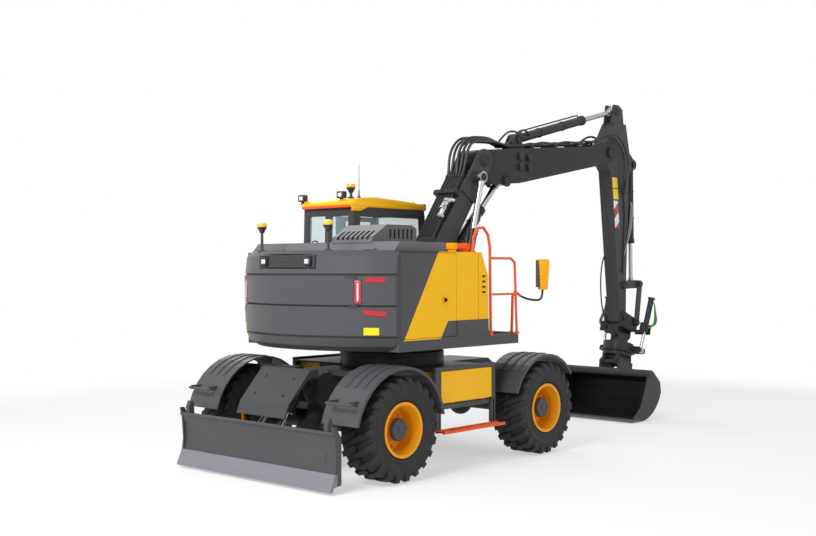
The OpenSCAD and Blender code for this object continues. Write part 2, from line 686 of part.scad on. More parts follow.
module seat() {
    color("#262628") placed() {
        translate([60, 600, 1842]) cube([540, 440, 110]);
        slab([[40, 1850], [125, 1850], [70, 2560], [0, 2540]], 600, 1040);
    }
}
// Orange handrails round the right step
rail_y = -1232;
rail_r = 17;
// Gap under a rail's slanting foot
rail_lift = 2;
module handrails() {
    color("#e8531c") placed() translate([0, 0, rail_lift]) {
        bent_tube([for (p = [[397, deck_top], [377, 2554], [340, 2700], [250, 2780], [140, 2770],
            [70, 2660], [55, body_top]]) [p[0], rail_y, p[1]]], rail_r);
        bent_tube([for (p = [[382, 2420], [790, 2420], [868, 2370], [912, deck_top]])
            [p[0], rail_y, p[1]]], rail_r - 2);
        strut([390, rail_y, 1990], [888, rail_y, 1990], rail_r - 4);
        bent_tube([[930, -1140, deck_top], [950, -1140, 1960], [1000, -1140, 2010],
            [1110, -1140, 1960]], rail_r);
    }
}
module mirrors() {
    color("#f0a818") placed() {
        translate([1310, -1395, 2030]) cube([90, 190, 385]);
        bent_tube([[1095, -1140, 1968], [1240, -1240, 1900], [1355, -1300, 1930],
            [1355, -1300, 2040]], 15);
        // Left mirror on the cab's front pillar
        translate([1210, 1290, 2380]) cube([80, 160, 340]);
        translate([1056, body_half, 2290]) cube([24, 110, 24]);
        translate([1056, body_half + 86, 2290]) cube([200, 24, 24]);
        translate([1232, body_half + 86, 2290]) cube([24, 24, 100]);
    }
}
module lamps() {
    color("#2b2b2d") placed() {
        // Tail lamps in the corners of the counterweight
        both_sides() rotate([0, 0, 180 - tail_lamp_turn]) translate([tail_r - 60, -42, 1919])
            cube([56, 84, 254]);
        // Panel of work lamps
        rotate([0, 0, 180]) translate([1700, -470, 2306]) cube([40, 920, 148]);
        for (y = [-430, 290]) rotate([0, 0, 180]) translate([1739, y, 2330]) cube([26, 120, 100]);
        // Two receiver posts on the counterweight and one on the cab roof
        for (y = [624, -485]) {
            translate([-1560, y, 2500]) cylinder(h = 290, r = 16);
            translate([-1560, y, 2785]) cylinder(h = 60, r = 55);
        }
        translate([-200, 514, roof_top]) cylinder(h = 120, r = 16);
        translate([-200, 514, roof_top + 115]) cylinder(h = 60, r = 55);
        // Work lamps and beacon on the roof
        for (y = [480, 1120]) translate([860, y - 60, roof_top]) cube([90, 120, 90]);
        for (y = [640, 1170]) translate([-280, y - 45, roof_top]) cube([60, 90, 120]);
        translate([200, 1080, roof_top]) cylinder(h = 40, r = 60);
        translate([200, 1080, roof_top + 35]) cylinder(h = 110, r = 52);
        translate([-200, 374, roof_top]) cylinder(h = 404, r = 5);
    }
}

// Boom
module base_boom() {
    box = [on_boom(90, -115), on_boom(430, -150), on_boom(1900, -150), on_boom(1900, 150),
        on_boom(430, 150), on_boom(90, 115)];
    fork = [on_boom(1700, -150), on_boom(2080, -150), on_boom(2260, -142), on_boom(boom_len, -150),
        on_boom(boom_len, 150), on_boom(2080, 150), on_boom(1700, 150)];
    ear = [on_boom(760, -140), adjust_base - 82 * boom_dir, adjust_base + 82 * boom_dir,
        on_boom(1230, -140)];
    color("#3a3a3c") placed() {
        box_beam(box, base_half, plate);
        bar(foot, 130, -182, 182);
        both_sides() slab(fork, front_half + 8, base_half + 20);
        both_sides() bar(knuckle, 150, front_half + 8, base_half + 20);
        both_sides() bar(knuckle, 90, base_half + 19, base_half + 44);
        bar(knuckle, 50 - fit, -base_half - 30, base_half + 30);
        both_sides() slab(ear, 80, 108);
        both_sides() bar(adjust_base, 82, 80, 108);
        bar(adjust_base, pin_r - fit, -116, 116);
        // Bosses beside the lift cylinders' rod eyes
        both_sides() bar(lift_eye, 72, base_half - 4, 211);
        bar(foot, 50 - fit, -240, 240);
    }
}
// Hard pipes clamped along the back of the base boom
module boom_pipes() {
    lanes = [-120, -72, -24, 24, 72, 120];
    color("#1f1f20") placed() {
        for (y = lanes) pipe_run(330, 1880, y);
        for (along = [800, 1580]) difference() {
            slab([on_boom(along, 151), on_boom(along + 60, 151), on_boom(along + 60, 250),
                on_boom(along, 250)], -190, 190);
            for (y = lanes) pipe_run(along - 20, along + 80, y);
        }
    }
}
function across(p, y) = [p[0], y, p[1]];
module pipe_run(from, to, y) { strut(across(on_boom(from, 205), y), across(on_boom(to, 205), y), 19); }
module front_boom() {
    heel = [[1640, 3600], [1815, 3432], [2060, 3451], [2446, 3481]];
    outline = concat(heel, [[4330, 3835], [4330, 4142], [2493, 3968], [1706, 3890], [1600, 3850]]);
    fork = [[4250, 3820], [4330, 3835], arm_pin - [0, 150], arm_pin + [0, 150], [4480, 4200],
        [4250, 4134]];
    ear = [[arm_cyl[0] - 210, 3935], [arm_cyl[0] + 150, 3965], arm_cyl + [62, -20],
        arm_cyl + [-75, 30]];
    color("#3a3a3c") placed() difference() {
        union() {
            difference() {
                box_beam(outline, front_half, plate);
                // Open pocket for the adjusting cylinder's rod eye
                translate([1850, -front_half + 20, 3380]) cube([620, 2 * front_half - 40, 270]);
            }
            bar(knuckle, 142, -front_half, front_half);
            both_sides() slab(fork, front_half - 20, front_half);
            both_sides() bar(arm_pin, 150, front_half - 20, front_half);
            both_sides() bar(arm_pin, 85, front_half - 1, front_half + 22);
            bar(arm_pin, 50 - fit, -front_half - 10, front_half + 10);
            both_sides() bar(adjust_eye, 85, front_half - 1, front_half + 20);
            both_sides() slab(ear, 50, 74);
            both_sides() bar(arm_cyl, 80, 50, 74);
            bar(arm_cyl, pin_r - fit, -82, 82);
            translate([4316, -front_half, 3845]) cube([20, 2 * front_half, 290]);
        }
        bar(knuckle, 50 + fit, -200, 200);
    }
}
module arm() {
    outline = [[5105, 1640], [5290, 1640], [5300, 2200], [5395, 3880], [5392, 4150], [5290, 4560],
        [4960, 4560], [4690, 4190], [4690, 3960], [4850, 3800]];
    ear = [[4900, 4460], [5290, 4460], [5240, 4790], [5130, 4850], [4990, 4850], [4935, 4560]];
    base_ear = [[5380, 3740], bucket_cyl + [-40, -78], bucket_cyl + [0, 80], [5380, 4180]];
    color("#3a3a3c") placed() difference() {
        union() {
            box_beam(outline, arm_half, plate);
            bar(arm_pin, 140, -116, 116);
            both_sides() slab(ear, 54, 80);
            both_sides() bar(arm_eye, 60, 79, 96);
            both_sides() slab(base_ear, 54, 80);
            both_sides() bar(bucket_cyl, 80, 54, 80);
            bar(bucket_cyl, pin_r - fit, -88, 88);
            bar(lever_pin, 70, -118, 118);
            bar(lever_pin, pin_r - fit, -152, 152);
            bar(tip, hub_r, -116, 116);
            slab([[5105, 1640], tip + [-94, 0], tip + [94, 0], [5290, 1640]], -arm_half, arm_half);
        }
        bar(arm_pin, 50 + fit, -200, 200);
        bar(tip, pin_r + fit, -200, 200);
    }
}
link_y0 = 152;
link_y1 = 176;
module lever() {
    color("#3a3a3c") placed() difference() {
        union() {
            both_sides() strap(lever_pin, lever_end, 62, 122, 146);
            both_sides() bar(lever_end, pin_r - fit, 100, 184);
        }
        bar(lever_pin, pin_r + fit, -200, 200);
    }
}
module link() {
    color("#3a3a3c") placed() difference() {
        union() {
            both_sides() strap(lever_end, link_end, 60, link_y0, link_y1);
            both_sides() bar(link_end, 48, link_y1 - 1, link_y1 + 14);
        }
        bar(lever_end, pin_r + fit, -200, 200);
    }
}

// Cylinders of the boom
lift_len = norm(lift_eye - lift_base);
adjust_len = norm(adjust_eye - adjust_base);
arm_len = norm(arm_eye - arm_cyl);
bucket_len = norm(lever_end - bucket_cyl);
lift_barrel_len = 1230;
adjust_barrel_len = 900;
adjust_eye_r = 70;
arm_barrel_len = 1750;
bucket_barrel_len = 1250;
module lift_barrels() {
    color("#2b2b2d") placed() both_sides() along_pins(lift_base, lift_eye, lift_y)
        barrel(lift_barrel_len, barrel_r, rod_r, 34, 80);
}
module lift_rods() {
    color("#c9c9cc") placed() both_sides() along_pins(lift_base, lift_eye, lift_y)
        translate([lift_len, 0, 0]) rod(990, rod_r, 33, 76);
}
module adjust_barrel() {
    color("#2b2b2d") placed() along_pins(adjust_base, adjust_eye)
        barrel(adjust_barrel_len, barrel_r + 6, rod_r + 4, 72, adjust_eye_r);
}
module adjust_rod() {
    color("#c9c9cc") placed() along_pins(adjust_base, adjust_eye)
        translate([adjust_len, 0, 0]) rod(905, rod_r + 4, 94, adjust_eye_r);
}
module arm_barrel() {
    color("#2b2b2d") placed() along_pins(arm_cyl, arm_eye)
        barrel(arm_barrel_len, barrel_r + 2, rod_r, 44, 82);
}
module arm_rod() {
    color("#c9c9cc") placed() along_pins(arm_cyl, arm_eye)
        translate([arm_len, 0, 0]) rod(1500, rod_r, 46, 78);
}
module bucket_barrel() {
    color("#2b2b2d") placed() along_pins(bucket_cyl, lever_end)
        barrel(bucket_barrel_len, barrel_r - 4, rod_r - 4, 46, 78);
}
module bucket_rod() {
    color("#c9c9cc") placed() along_pins(bucket_cyl, lever_end)
        translate([bucket_len, 0, 0]) rod(1180, rod_r - 4, 90, 66);
}

// Tool head: drawn in its own frame, X forward and Z up square to the hitch pins
module on_tool_head() {
    translate([head_mid[0], 0, head_mid[1]]) rotate([0, -head_lean, 0]) children();
}
hitch_half = norm(link_end - tip) / 2;
// A round bar along the tool head's forward axis
module fore_bar(y, up, r, x0, x1) {
    translate([x0, y, up]) rotate([0, 90, 0]) cylinder(h = x1 - x0, r = r);
}
module tilt_hitch() {
    color("#2f2f31") placed() on_tool_head() {
        both_sides() slab([[-hitch_half - 40, -150], [hitch_half + 70, -150], [hitch_half + 62, 0],
            [hitch_half, 62], [-hitch_half, 90], [-hitch_half - 90, 0]], 122, 146);
        both_sides() bar([-hitch_half, 0], hub_r, 122, 146);
        both_sides() bar([hitch_half, 0], 62, 122, 146);
        bar([-hitch_half, 0], pin_r - fit, -156, 156);
        // Base plate and the two ears of the tilt pivot
        translate([-200, -150, -150]) cube([400, 300, 34]);
        for (x = [-200, 164]) {
            fore_bar(0, tilt_up, 72, x, x + 36);
            translate([x, -72, tilt_up]) cube([36, 144, 90]);
        }
        fore_bar(0, tilt_up, pin_r - fit, -206, 206);
        // Side brackets that carry the tilt cylinders' trunnions
        both_sides() for (x = [tilt_fwd - 104, tilt_fwd + 78]) {
            translate([x, 140, -178]) cube([26, 250, 34]);
            translate([x, tilt_y - 40, -178]) cube([26, 80, 156]);
        }
        both_sides() for (x = [tilt_fwd - 104, tilt_fwd + 62])
            fore_bar(tilt_y, trunnion_up, 26, x, x + 42);
    }
}
module tilt_frame() {
    color("#3a3a3c") placed() on_tool_head() difference() {
        union() {
            fore_bar(0, tilt_up, 70, -158, 158);
            translate([-150, -66, -380]) cube([300, 132, 150]);
            translate([0, 0, -520]) cylinder(h = 145, r = 235);
            // Ears beside the tilt cylinders' rod eyes
            both_sides() for (x = [tilt_fwd - 70, tilt_fwd + 52])
                translate([x, 120, -500]) cube([18, tilt_eye_y - 120, 98]);
            both_sides() for (x = [tilt_fwd - 70, tilt_fwd + 52])
                fore_bar(tilt_eye_y, tilt_eye_up, 49, x, x + 18);
        }
        fore_bar(0, tilt_up, pin_r + fit, -220, 220);
    }
}
tilt_lean = atan2(tilt_y - tilt_eye_y, trunnion_up - tilt_eye_up);
tilt_len = norm([tilt_y - tilt_eye_y, trunnion_up - tilt_eye_up]);
// One tilt cylinder, its trunnion at the origin and its rod hanging down
module at_trunnion() {
    on_tool_head() translate([tilt_fwd, tilt_y, trunnion_up]) rotate([-tilt_lean, 0, 0]) children();
}
module tilt_barrel() {
    at_trunnion() difference() {
        union() {
            translate([0, 0, -95]) cylinder(h = 525, r = 44);
            fore_bar(0, 0, 40, -58, 58);
            translate([0, 0, 425]) cylinder(h = 20, r = 36);
        }
        translate([0, 0, -80]) cylinder(h = 495, r = 33);
        translate([0, 0, -120]) cylinder(h = 60, r = 24 + fit);
    }
}
module tilt_rod() {
    at_trunnion() translate([0, 0, -tilt_len]) {
        fore_bar(0, 0, 44, -48, 48);
        cylinder(h = 560, r = 24);
    }
}
module tilt_barrel_left() { color("#2b2b2d") placed() tilt_barrel(); }
module tilt_barrel_right() { color("#2b2b2d") placed() mirror([0, 1, 0]) tilt_barrel(); }
module tilt_rod_left() { color("#c9c9cc") placed() tilt_rod(); }
module tilt_rod_right() { color("#c9c9cc") placed() mirror([0, 1, 0]) tilt_rod(); }

// Rotating lower hitch, locked to the bucket's two pins
rear_tool_pin = [-150, -700];
front_tool_pin = [170, -700];
tool_pin_r = 32;
module tool_hitch() {
    color("#2f2f31") placed() on_tool_head() difference() {
        union() {
            translate([0, 0, -584]) cylinder(h = 58, r = 225);
            both_sides() slab([[-205, -700], [-95, -700], [-60, -660], [90, -660], [115, -700],
                [225, -700], [215, -578], [-195, -578]], 96, 140);
            translate([-120, -100, -640]) cube([240, 200, 70]);
        }
        for (p = [rear_tool_pin, front_tool_pin]) bar(p, tool_pin_r + fit, -150, 150);
    }
}
module bucket() {
    half = bucket_w / 2;
    skin = 22;
    curve = [4660, 640];
    curve_r = 628;
    belly = concat([[4420, 14], [4660, 12]], arc(curve, curve_r, -84, -22), [[5215, 560], [5010, 735]]);
    inside = concat([[4900, 712], [5000, 712], [5190, 548]], arc(curve, curve_r - skin, -24, -82),
        [[4660, 34], [4420, 30]]);
    color("#39393b") placed() {
        slab(concat(belly, [[4930, 735]], inside), -half, half);
        both_sides() slab(concat(belly, [[4880, 735], [4760, 430], [4640, 210], [4440, 60]]),
            half - skin, half);
        bar([4925, 704], 56, -half - 16, half + 16);
        // Cutting edge
        slab([[4396, 14], [4600, 13], [4600, 44], [4440, 44]], -half, half);
        // Ears that take the tool hitch's hooks
        both_sides() slab([[4960, 715], [5200, 545],
            on_head(front_tool_pin[0] + 50, front_tool_pin[1] - 40),
            on_head(front_tool_pin[0] + 40, front_tool_pin[1] + 45),
            on_head(rear_tool_pin[0] - 20, rear_tool_pin[1] + 50),
            on_head(rear_tool_pin[0] - 55, rear_tool_pin[1])], 150, 176);
        for (p = [rear_tool_pin, front_tool_pin]) bar(on_head(p[0], p[1]), tool_pin_r, -182, 182);
    }
}

chassis_frame();
slew_ring();
axles();
fenders();
steps();
toolboxes();
toolbox_lid_right();
toolbox_lid_left();
knuckle_left();
knuckle_right();
rim_front_left();
rim_front_right();
rim_rear_left();
rim_rear_right();
tyre_front_left();
tyre_front_right();
tyre_rear_left();
tyre_rear_right();
blade();
blade_barrels();
blade_rods();
house_frame();
counterweight();
engine_block();
engine_hood();
right_body();
right_door();
left_body();
left_door();
cab_shell();
cab_roof();
cab_glass();
cab_door();
door_glass();
seat();
handrails();
mirrors();
lamps();
base_boom();
boom_pipes();
front_boom();
arm();
lever();
link();
lift_barrels();
lift_rods();
adjust_barrel();
adjust_rod();
arm_barrel();
arm_rod();
bucket_barrel();
bucket_rod();
tilt_hitch();
tilt_frame();
tilt_barrel_left();
tilt_barrel_right();
tilt_rod_left();
tilt_rod_right();
tool_hitch();
bucket();
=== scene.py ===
import json
import math

import bmesh
import bpy
from mathutils import Matrix, Vector


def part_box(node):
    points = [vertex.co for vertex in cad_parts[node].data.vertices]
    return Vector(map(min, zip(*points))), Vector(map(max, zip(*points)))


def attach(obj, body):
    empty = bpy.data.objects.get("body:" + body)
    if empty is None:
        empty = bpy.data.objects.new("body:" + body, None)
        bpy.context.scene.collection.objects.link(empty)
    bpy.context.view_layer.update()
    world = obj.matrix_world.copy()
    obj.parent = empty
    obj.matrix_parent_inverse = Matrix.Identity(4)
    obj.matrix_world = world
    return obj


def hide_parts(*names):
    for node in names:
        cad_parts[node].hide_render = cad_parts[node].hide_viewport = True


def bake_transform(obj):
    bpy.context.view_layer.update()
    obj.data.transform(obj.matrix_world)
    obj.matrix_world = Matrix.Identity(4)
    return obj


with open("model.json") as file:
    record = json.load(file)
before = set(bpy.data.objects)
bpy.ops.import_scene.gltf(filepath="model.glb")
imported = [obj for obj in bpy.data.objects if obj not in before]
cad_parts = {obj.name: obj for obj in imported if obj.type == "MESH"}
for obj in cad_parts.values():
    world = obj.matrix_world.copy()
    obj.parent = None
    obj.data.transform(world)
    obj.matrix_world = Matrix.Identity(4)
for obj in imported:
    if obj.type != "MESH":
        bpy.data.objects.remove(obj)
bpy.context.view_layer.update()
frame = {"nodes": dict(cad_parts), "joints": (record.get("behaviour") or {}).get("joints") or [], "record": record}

joints = {joint["name"]: joint for joint in frame["joints"]}
slew = Vector(joints["slew"]["pos_m"])

SIDES = (("right", -1), ("left", 1))
LEFT = Vector((0, 1, 0))
UP = Vector((0, 0, 1))


def at(x, y, z):
    """A place measured from the slew axis: x towards the boom, y to the left, z up from the ground."""
    return Vector((slew.x + x, y, z))


def pin(joint):
    """The middle of a joint's pin."""
    return Vector(joints[joint]["pos_m"])


def upward(joint):
    """A joint's axis, pointing up."""
    axis = Vector(joints[joint]["axis"])
    return axis if axis.z > 0 else -axis


def linear(code):
    """A colour code as the four numbers that a colour socket takes."""
    parts = [int(code[i:i + 2], 16) / 255 for i in (1, 3, 5)]
    return tuple(p / 12.92 if p <= 0.04045 else ((p + 0.055) / 1.055) ** 2.4 for p in parts) + (1.0,)


def shaded(colour, factor):
    """A colour made lighter or darker."""
    return tuple(min(part * factor, 1.0) for part in colour[:3]) + (1.0,)


# Colours of the finishes

GREY = linear("#4e4d50")
DARK_GREY = linear("#414143")
BOOM_GREY = linear("#2c2c2e")
BLACK = linear("#2a2a2b")
YELLOW = linear("#ffbe0e")
AMBER = linear("#f2a40a")
ORANGE = linear("#ee5a22")
WORN = linear("#7d7d84")
RUBBER = linear("#1a1a1b")
RED = linear("#ad2129")
WHITE = linear("#f1f1ef")
GREEN = linear("#1f8a3c")


class Tone:
    """A value that changes over a surface. Arithmetic on it adds Math nodes."""

    def __init__(self, paint, socket):
        self.paint = paint
        self.socket = socket

    def math(self, operation, first, second=0.0):
        node = self.paint.node("ShaderNodeMath", {"operation": operation}, {0: first, 1: second})
        return Tone(self.paint, node.outputs[0])

    def __add__(self, other):
        return self.math("ADD", self, other)

    def __radd__(self, other):
        return self.math("ADD", other, self)

    def __sub__(self, other):
        return self.math("SUBTRACT", self, other)

    def __rsub__(self, other):
        return self.math("SUBTRACT", other, self)

    def __mul__(self, other):
        return self.math("MULTIPLY", self, other)

    def __rmul__(self, other):
        return self.math("MULTIPLY", other, self)

    def __gt__(self, other):
        return self.math("GREATER_THAN", self, other)

    def __lt__(self, other):
        return self.math("LESS_THAN", self, other)

    def fraction(self):
        return self.math("FRACT", self)

    def either(self, other):
        return self.math("MAXIMUM", self, other)

    def absolute(self):
        return self.math("ABSOLUTE", self)


class Graph:
    """A tree of shader nodes."""

    def __init__(self, tree):
        self.tree = tree

    def node(self, kind, settings=None, sockets=None):
        """Adds a node: its settings first, then the values or links of its sockets."""
        node = self.tree.nodes.new(kind)
        for name, value in (settings or {}).items():
            setattr(node, name, value)
        for name, value in (sockets or {}).items():
            self.feed(node.inputs[name], value)
        return node

    def feed(self, socket, value):
        if isinstance(value, Tone):
            self.tree.links.new(value.socket, socket)
        else:
            socket.default_value = value

    def seen_directly(self):
        """1 for what the camera, polished metal and glass look at, 0 for what only lights."""
        rays = self.node("ShaderNodeLightPath")
        camera, metal, glass = [Tone(self, rays.outputs[f"Is {kind} Ray"])
                                for kind in ("Camera", "Glossy", "Transmission")]
        return camera.either(metal).either(glass)


class Paint(Graph):
    """A material drawn on a piece's own coordinates."""

    def __init__(self, name, **constants):
        self.material = bpy.data.materials.new(name)
        self.material.use_nodes = True
        super().__init__(self.material.node_tree)
        self.shader = self.tree.nodes["Principled BSDF"]
        for words, value in constants.items():
            self.shader.inputs[words.replace("_", " ").title()].default_value = value
        self.place = Tone(self, self.node("ShaderNodeTexCoord").outputs["Object"])

    def noise(self, scale, detail=3.0, stretch=(1, 1, 1)):
        """Cloudy variation from 0 to 1."""
        spread = self.node("ShaderNodeMapping", {}, {"Vector": self.place, "Scale": stretch})
        cloud = self.node("ShaderNodeTexNoise", {}, {
            "Vector": Tone(self, spread.outputs[0]), "Scale": scale, "Detail": detail})
        return Tone(self, cloud.outputs["Fac"])

    def axes(self):
        """The three coordinates of a point on the piece."""
        split = self.node("ShaderNodeSeparateXYZ", {}, {0: self.place})
        return [Tone(self, output) for output in split.outputs]

    def mix(self, mask, low, high):
        """The low colour where the mask is 0 and the high colour where it is 1."""
        node = self.node("ShaderNodeMix", {"data_type": "RGBA"}, {0: mask, 6: low, 7: high})
        return Tone(self, node.outputs[2])

    def dull(self, level):
        """Weakens the reflection of the surroundings."""
        self.shader.inputs["Specular IOR Level"].default_value = level
        return self

    def finish(self, colour, roughness, height=None, strength=0.1, depth=0.002):
        """Links what varies over the surface to the shader."""
        self.feed(self.shader.inputs["Base Color"], colour)
        self.feed(self.shader.inputs["Roughness"], roughness)
        if height is not None:
            bump = self.node("ShaderNodeBump", {}, {
                "Strength": strength, "Distance": depth, "Height": height})
            self.feed(self.shader.inputs["Normal"], Tone(self, bump.outputs[0]))
        return self.material


def sprayed(name, colour, roughness=0.4, coat=0.05, spread=0.1):
    """Sprayed enamel: slow drifts of shade, orange peel and a little dust low down."""
    paint = Paint(name, coat_weight=coat, coat_roughness=0.18).dull(0.17)
    drift = paint.noise(0.9, 3.0)
    peel = paint.noise(170.0, 2.0)
    height = paint.axes()[2]
    dust = ((1.2 - height) * 0.12).either(0.0)
    tone = paint.mix(drift, shaded(colour, 1 - spread), shaded(colour, 1 + spread))
    tone = paint.mix(dust * paint.noise(6.0, 5.0), tone, linear("#8a857c"))
    return paint.finish(tone, roughness + 0.14 * (drift - 0.5), peel, 0.06, 0.0012)


def cast(name, colour, roughness=0.55):
    """Painted castings: a grainy skin with darker and lighter blotches."""
    paint = Paint(name, coat_weight=0.04).dull(0.3)
    grain = paint.noise(120.0, 5.0)
    stain = paint.noise(3.0, 6.0)
    tone = paint.mix(stain, shaded(colour, 0.72), shaded(colour, 1.18))
    return paint.finish(tone, roughness + 0.2 * (stain - 0.5), grain, 0.22, 0.003)


def rubbery(name, colour, roughness=0.62, scale=90.0):
    """Moulded rubber or soft plastic with a fine matt grain."""
    paint = Paint(name)
    grain = paint.noise(scale, 4.0)
    bloom = paint.noise(2.4, 5.0)
    tone = paint.mix(bloom, shaded(colour, 0.75), shaded(colour, 1.3))
    return paint.finish(tone, roughness + 0.16 * (bloom - 0.5), grain, 0.16, 0.002)


def polished(name, colour, roughness=0.14, metallic=1.0):
    """Ground metal with fine lines and faint smears."""
    paint = Paint(name, metallic=metallic)
    lines = paint.noise(60.0, 3.0, (1.0, 14.0, 1.0))
    smear = paint.noise(5.0, 4.0)
    tone = paint.mix(smear, shaded(colour, 0.86), shaded(colour, 1.1))
    return paint.finish(tone, roughness + 0.14 * smear * lines, lines, 0.03, 0.0005)


def see_through(name, colour, alpha):
    """Window glass with a faint tint and barely visible streaks."""
    paint = Paint(name, coat_weight=0.3)
    streak = paint.noise(1.6, 3.0, (1.0, 1.0, 0.25))
    tone = paint.mix(streak, shaded(colour, 0.94), shaded(colour, 1.06))
    paint.feed(paint.shader.inputs["Alpha"], alpha + 0.04 * streak)
    return paint.finish(tone, 0.03 + 0.05 * streak)


def lens(name, colour, glow):
    """A moulded lamp lens with fine ribs."""
    paint = Paint(name, coat_weight=0.6, emission_strength=glow)
    ribs_per_metre = 70.0
    rib = (paint.axes()[2] * ribs_per_metre).fraction()
    tone = paint.mix(rib * 0.35, colour, shaded(colour, 0.45))
    paint.feed(paint.shader.inputs["Emission Color"], tone)
    return paint.finish(tone, 0.18 + 0.1 * rib, rib, 0.25, 0.002)


def woven(name, colour):
    """Seat cloth: a plain weave with slow changes of shade."""
    paint = Paint(name)
    x, y, z = paint.axes()
    threads_per_metre = 260.0
    across = ((y * threads_per_metre).fraction() - 0.5).absolute()
    down = (((z + x) * threads_per_metre).fraction() - 0.5).absolute()
    thread = across + down
    tone = paint.mix(paint.noise(7.0, 3.0), shaded(colour, 0.7), shaded(colour, 1.5))
    return paint.finish(tone, 0.86 + 0.1 * thread, thread, 0.3, 0.002)


def side_paint():
    """Right flank: yellow ahead of a slant, dark grey behind it and along the lower band, coloured caps."""
    paint = Paint("side_paint", coat_weight=0.06, coat_roughness=0.16).dull(0.17)
    x, y, z = paint.axes()
    skirt, band_top, caps_low, flank = 1.535, 1.706, 2.4915, -1.2
    ahead = (x - (slew.x - 1.14) - 0.59 * (z - skirt)) > 0.0
    band = (z < band_top) * ((x - (slew.x - 0.52) - 0.667 * (z - 1.54)) > 0.0)
    outside = y < flank
    drift = paint.noise(0.8, 3.0)
    yellow = paint.mix(drift, shaded(YELLOW, 0.94), shaded(YELLOW, 1.06))
    grey = paint.mix(drift, shaded(GREY, 0.9), shaded(GREY, 1.1))
    tone = paint.mix(ahead, grey, yellow)
    tone = paint.mix(band * outside, tone, grey)
    cap = z > caps_low
    caps = paint.mix(x > slew.x - 0.05, AMBER, ORANGE)
    tone = paint.mix(cap, tone, caps)
    return paint.finish(tone, 0.34 + 0.1 * drift, paint.noise(170.0, 2.0), 0.05, 0.0012)


def blade_paint():
    """The dozer blade: grey above, ground steel along the cutting edge."""
    paint = Paint("blade_paint", coat_weight=0.08).dull(0.35)
    x, y, z = paint.axes()
    edge_top, edge_face = 0.206, -2.19
    edge = (z < edge_top) * (x < slew.x + edge_face)
    scuff = paint.noise(9.0, 5.0, (1.0, 1.0, 5.0))
    grey = paint.mix(paint.noise(1.1, 4.0), shaded(DARK_GREY, 0.9), shaded(DARK_GREY, 1.15))
    steel = paint.mix(scuff, shaded(WORN, 0.85), shaded(WORN, 1.1))
    tone = paint.mix(edge, grey, steel)
    return paint.finish(tone, 0.42 + 0.1 * scuff, paint.noise(150.0, 2.0), 0.06, 0.0015)


def bucket_paint():
    """The bucket: dark grey cheeks and tube, nearly black inside as painted shade, with a scuffed lip."""
    paint = Paint("bucket_paint", coat_weight=0.04).dull(0.2)
    x, y, z = paint.axes()
    scuff = paint.noise(5.0, 6.0, (1.0, 0.3, 1.0))
    lip_top, lip_back, tube_low = 0.05, 4.62, 0.652
    cheek_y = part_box("bucket")[1][1] - 0.03
    lip = (z < lip_top) * (x < slew.x + lip_back)
    grey = paint.mix(scuff, shaded(DARK_GREY, 0.7), shaded(DARK_GREY, 1.15))
    # Everything but the cheeks and the tube starts nearly black: painted shade inside the bucket's hollow
    tone = paint.mix(scuff, shaded(BLACK, 0.25), shaded(BLACK, 0.65))
    tone = paint.mix(y.absolute() > cheek_y, tone, grey)
    tone = paint.mix(z > tube_low, tone, grey)
    tone = paint.mix(lip * scuff, tone, WORN)
    return paint.finish(tone, 0.4 + 0.2 * scuff, paint.noise(130.0, 3.0), 0.1, 0.002)


def striped(name):
    """Red and white marker film with slanted stripes."""
    paint = Paint(name, coat_weight=0.2)
    x, y, z = paint.axes()
    slant, stripes_per_metre = 0.9, 3.1
    red = ((z - slant * x) * stripes_per_metre).fraction() > 0.5
    grain = paint.noise(400.0, 1.0)
    tone = paint.mix(red, shaded(WHITE, 0.95), RED)
    return paint.finish(tone, 0.35 + 0.1 * grain, grain, 0.05, 0.001)


def step_paint():
    """Orange treads with a non-slip pattern of raised dots, on dark hangers."""
    paint = Paint("step_paint", coat_weight=0.1).dull(0.3)
    x, y, z = paint.axes()
    dots_per_metre, tread_top = 28.0, 0.4745
    dots = [((axis * dots_per_metre).fraction() - 0.5) for axis in (x, y)]
    dome = 0.2 - dots[0] * dots[0] - dots[1] * dots[1]
    drift = paint.noise(1.4, 3.0)
    tone = paint.mix(drift, shaded(ORANGE, 0.92), shaded(ORANGE, 1.08))
    tone = paint.mix(z > tread_top, tone, DARK_GREY)
    return paint.finish(tone, 0.38 + 0.1 * drift, dome.either(0.0), 0.25, 0.003)


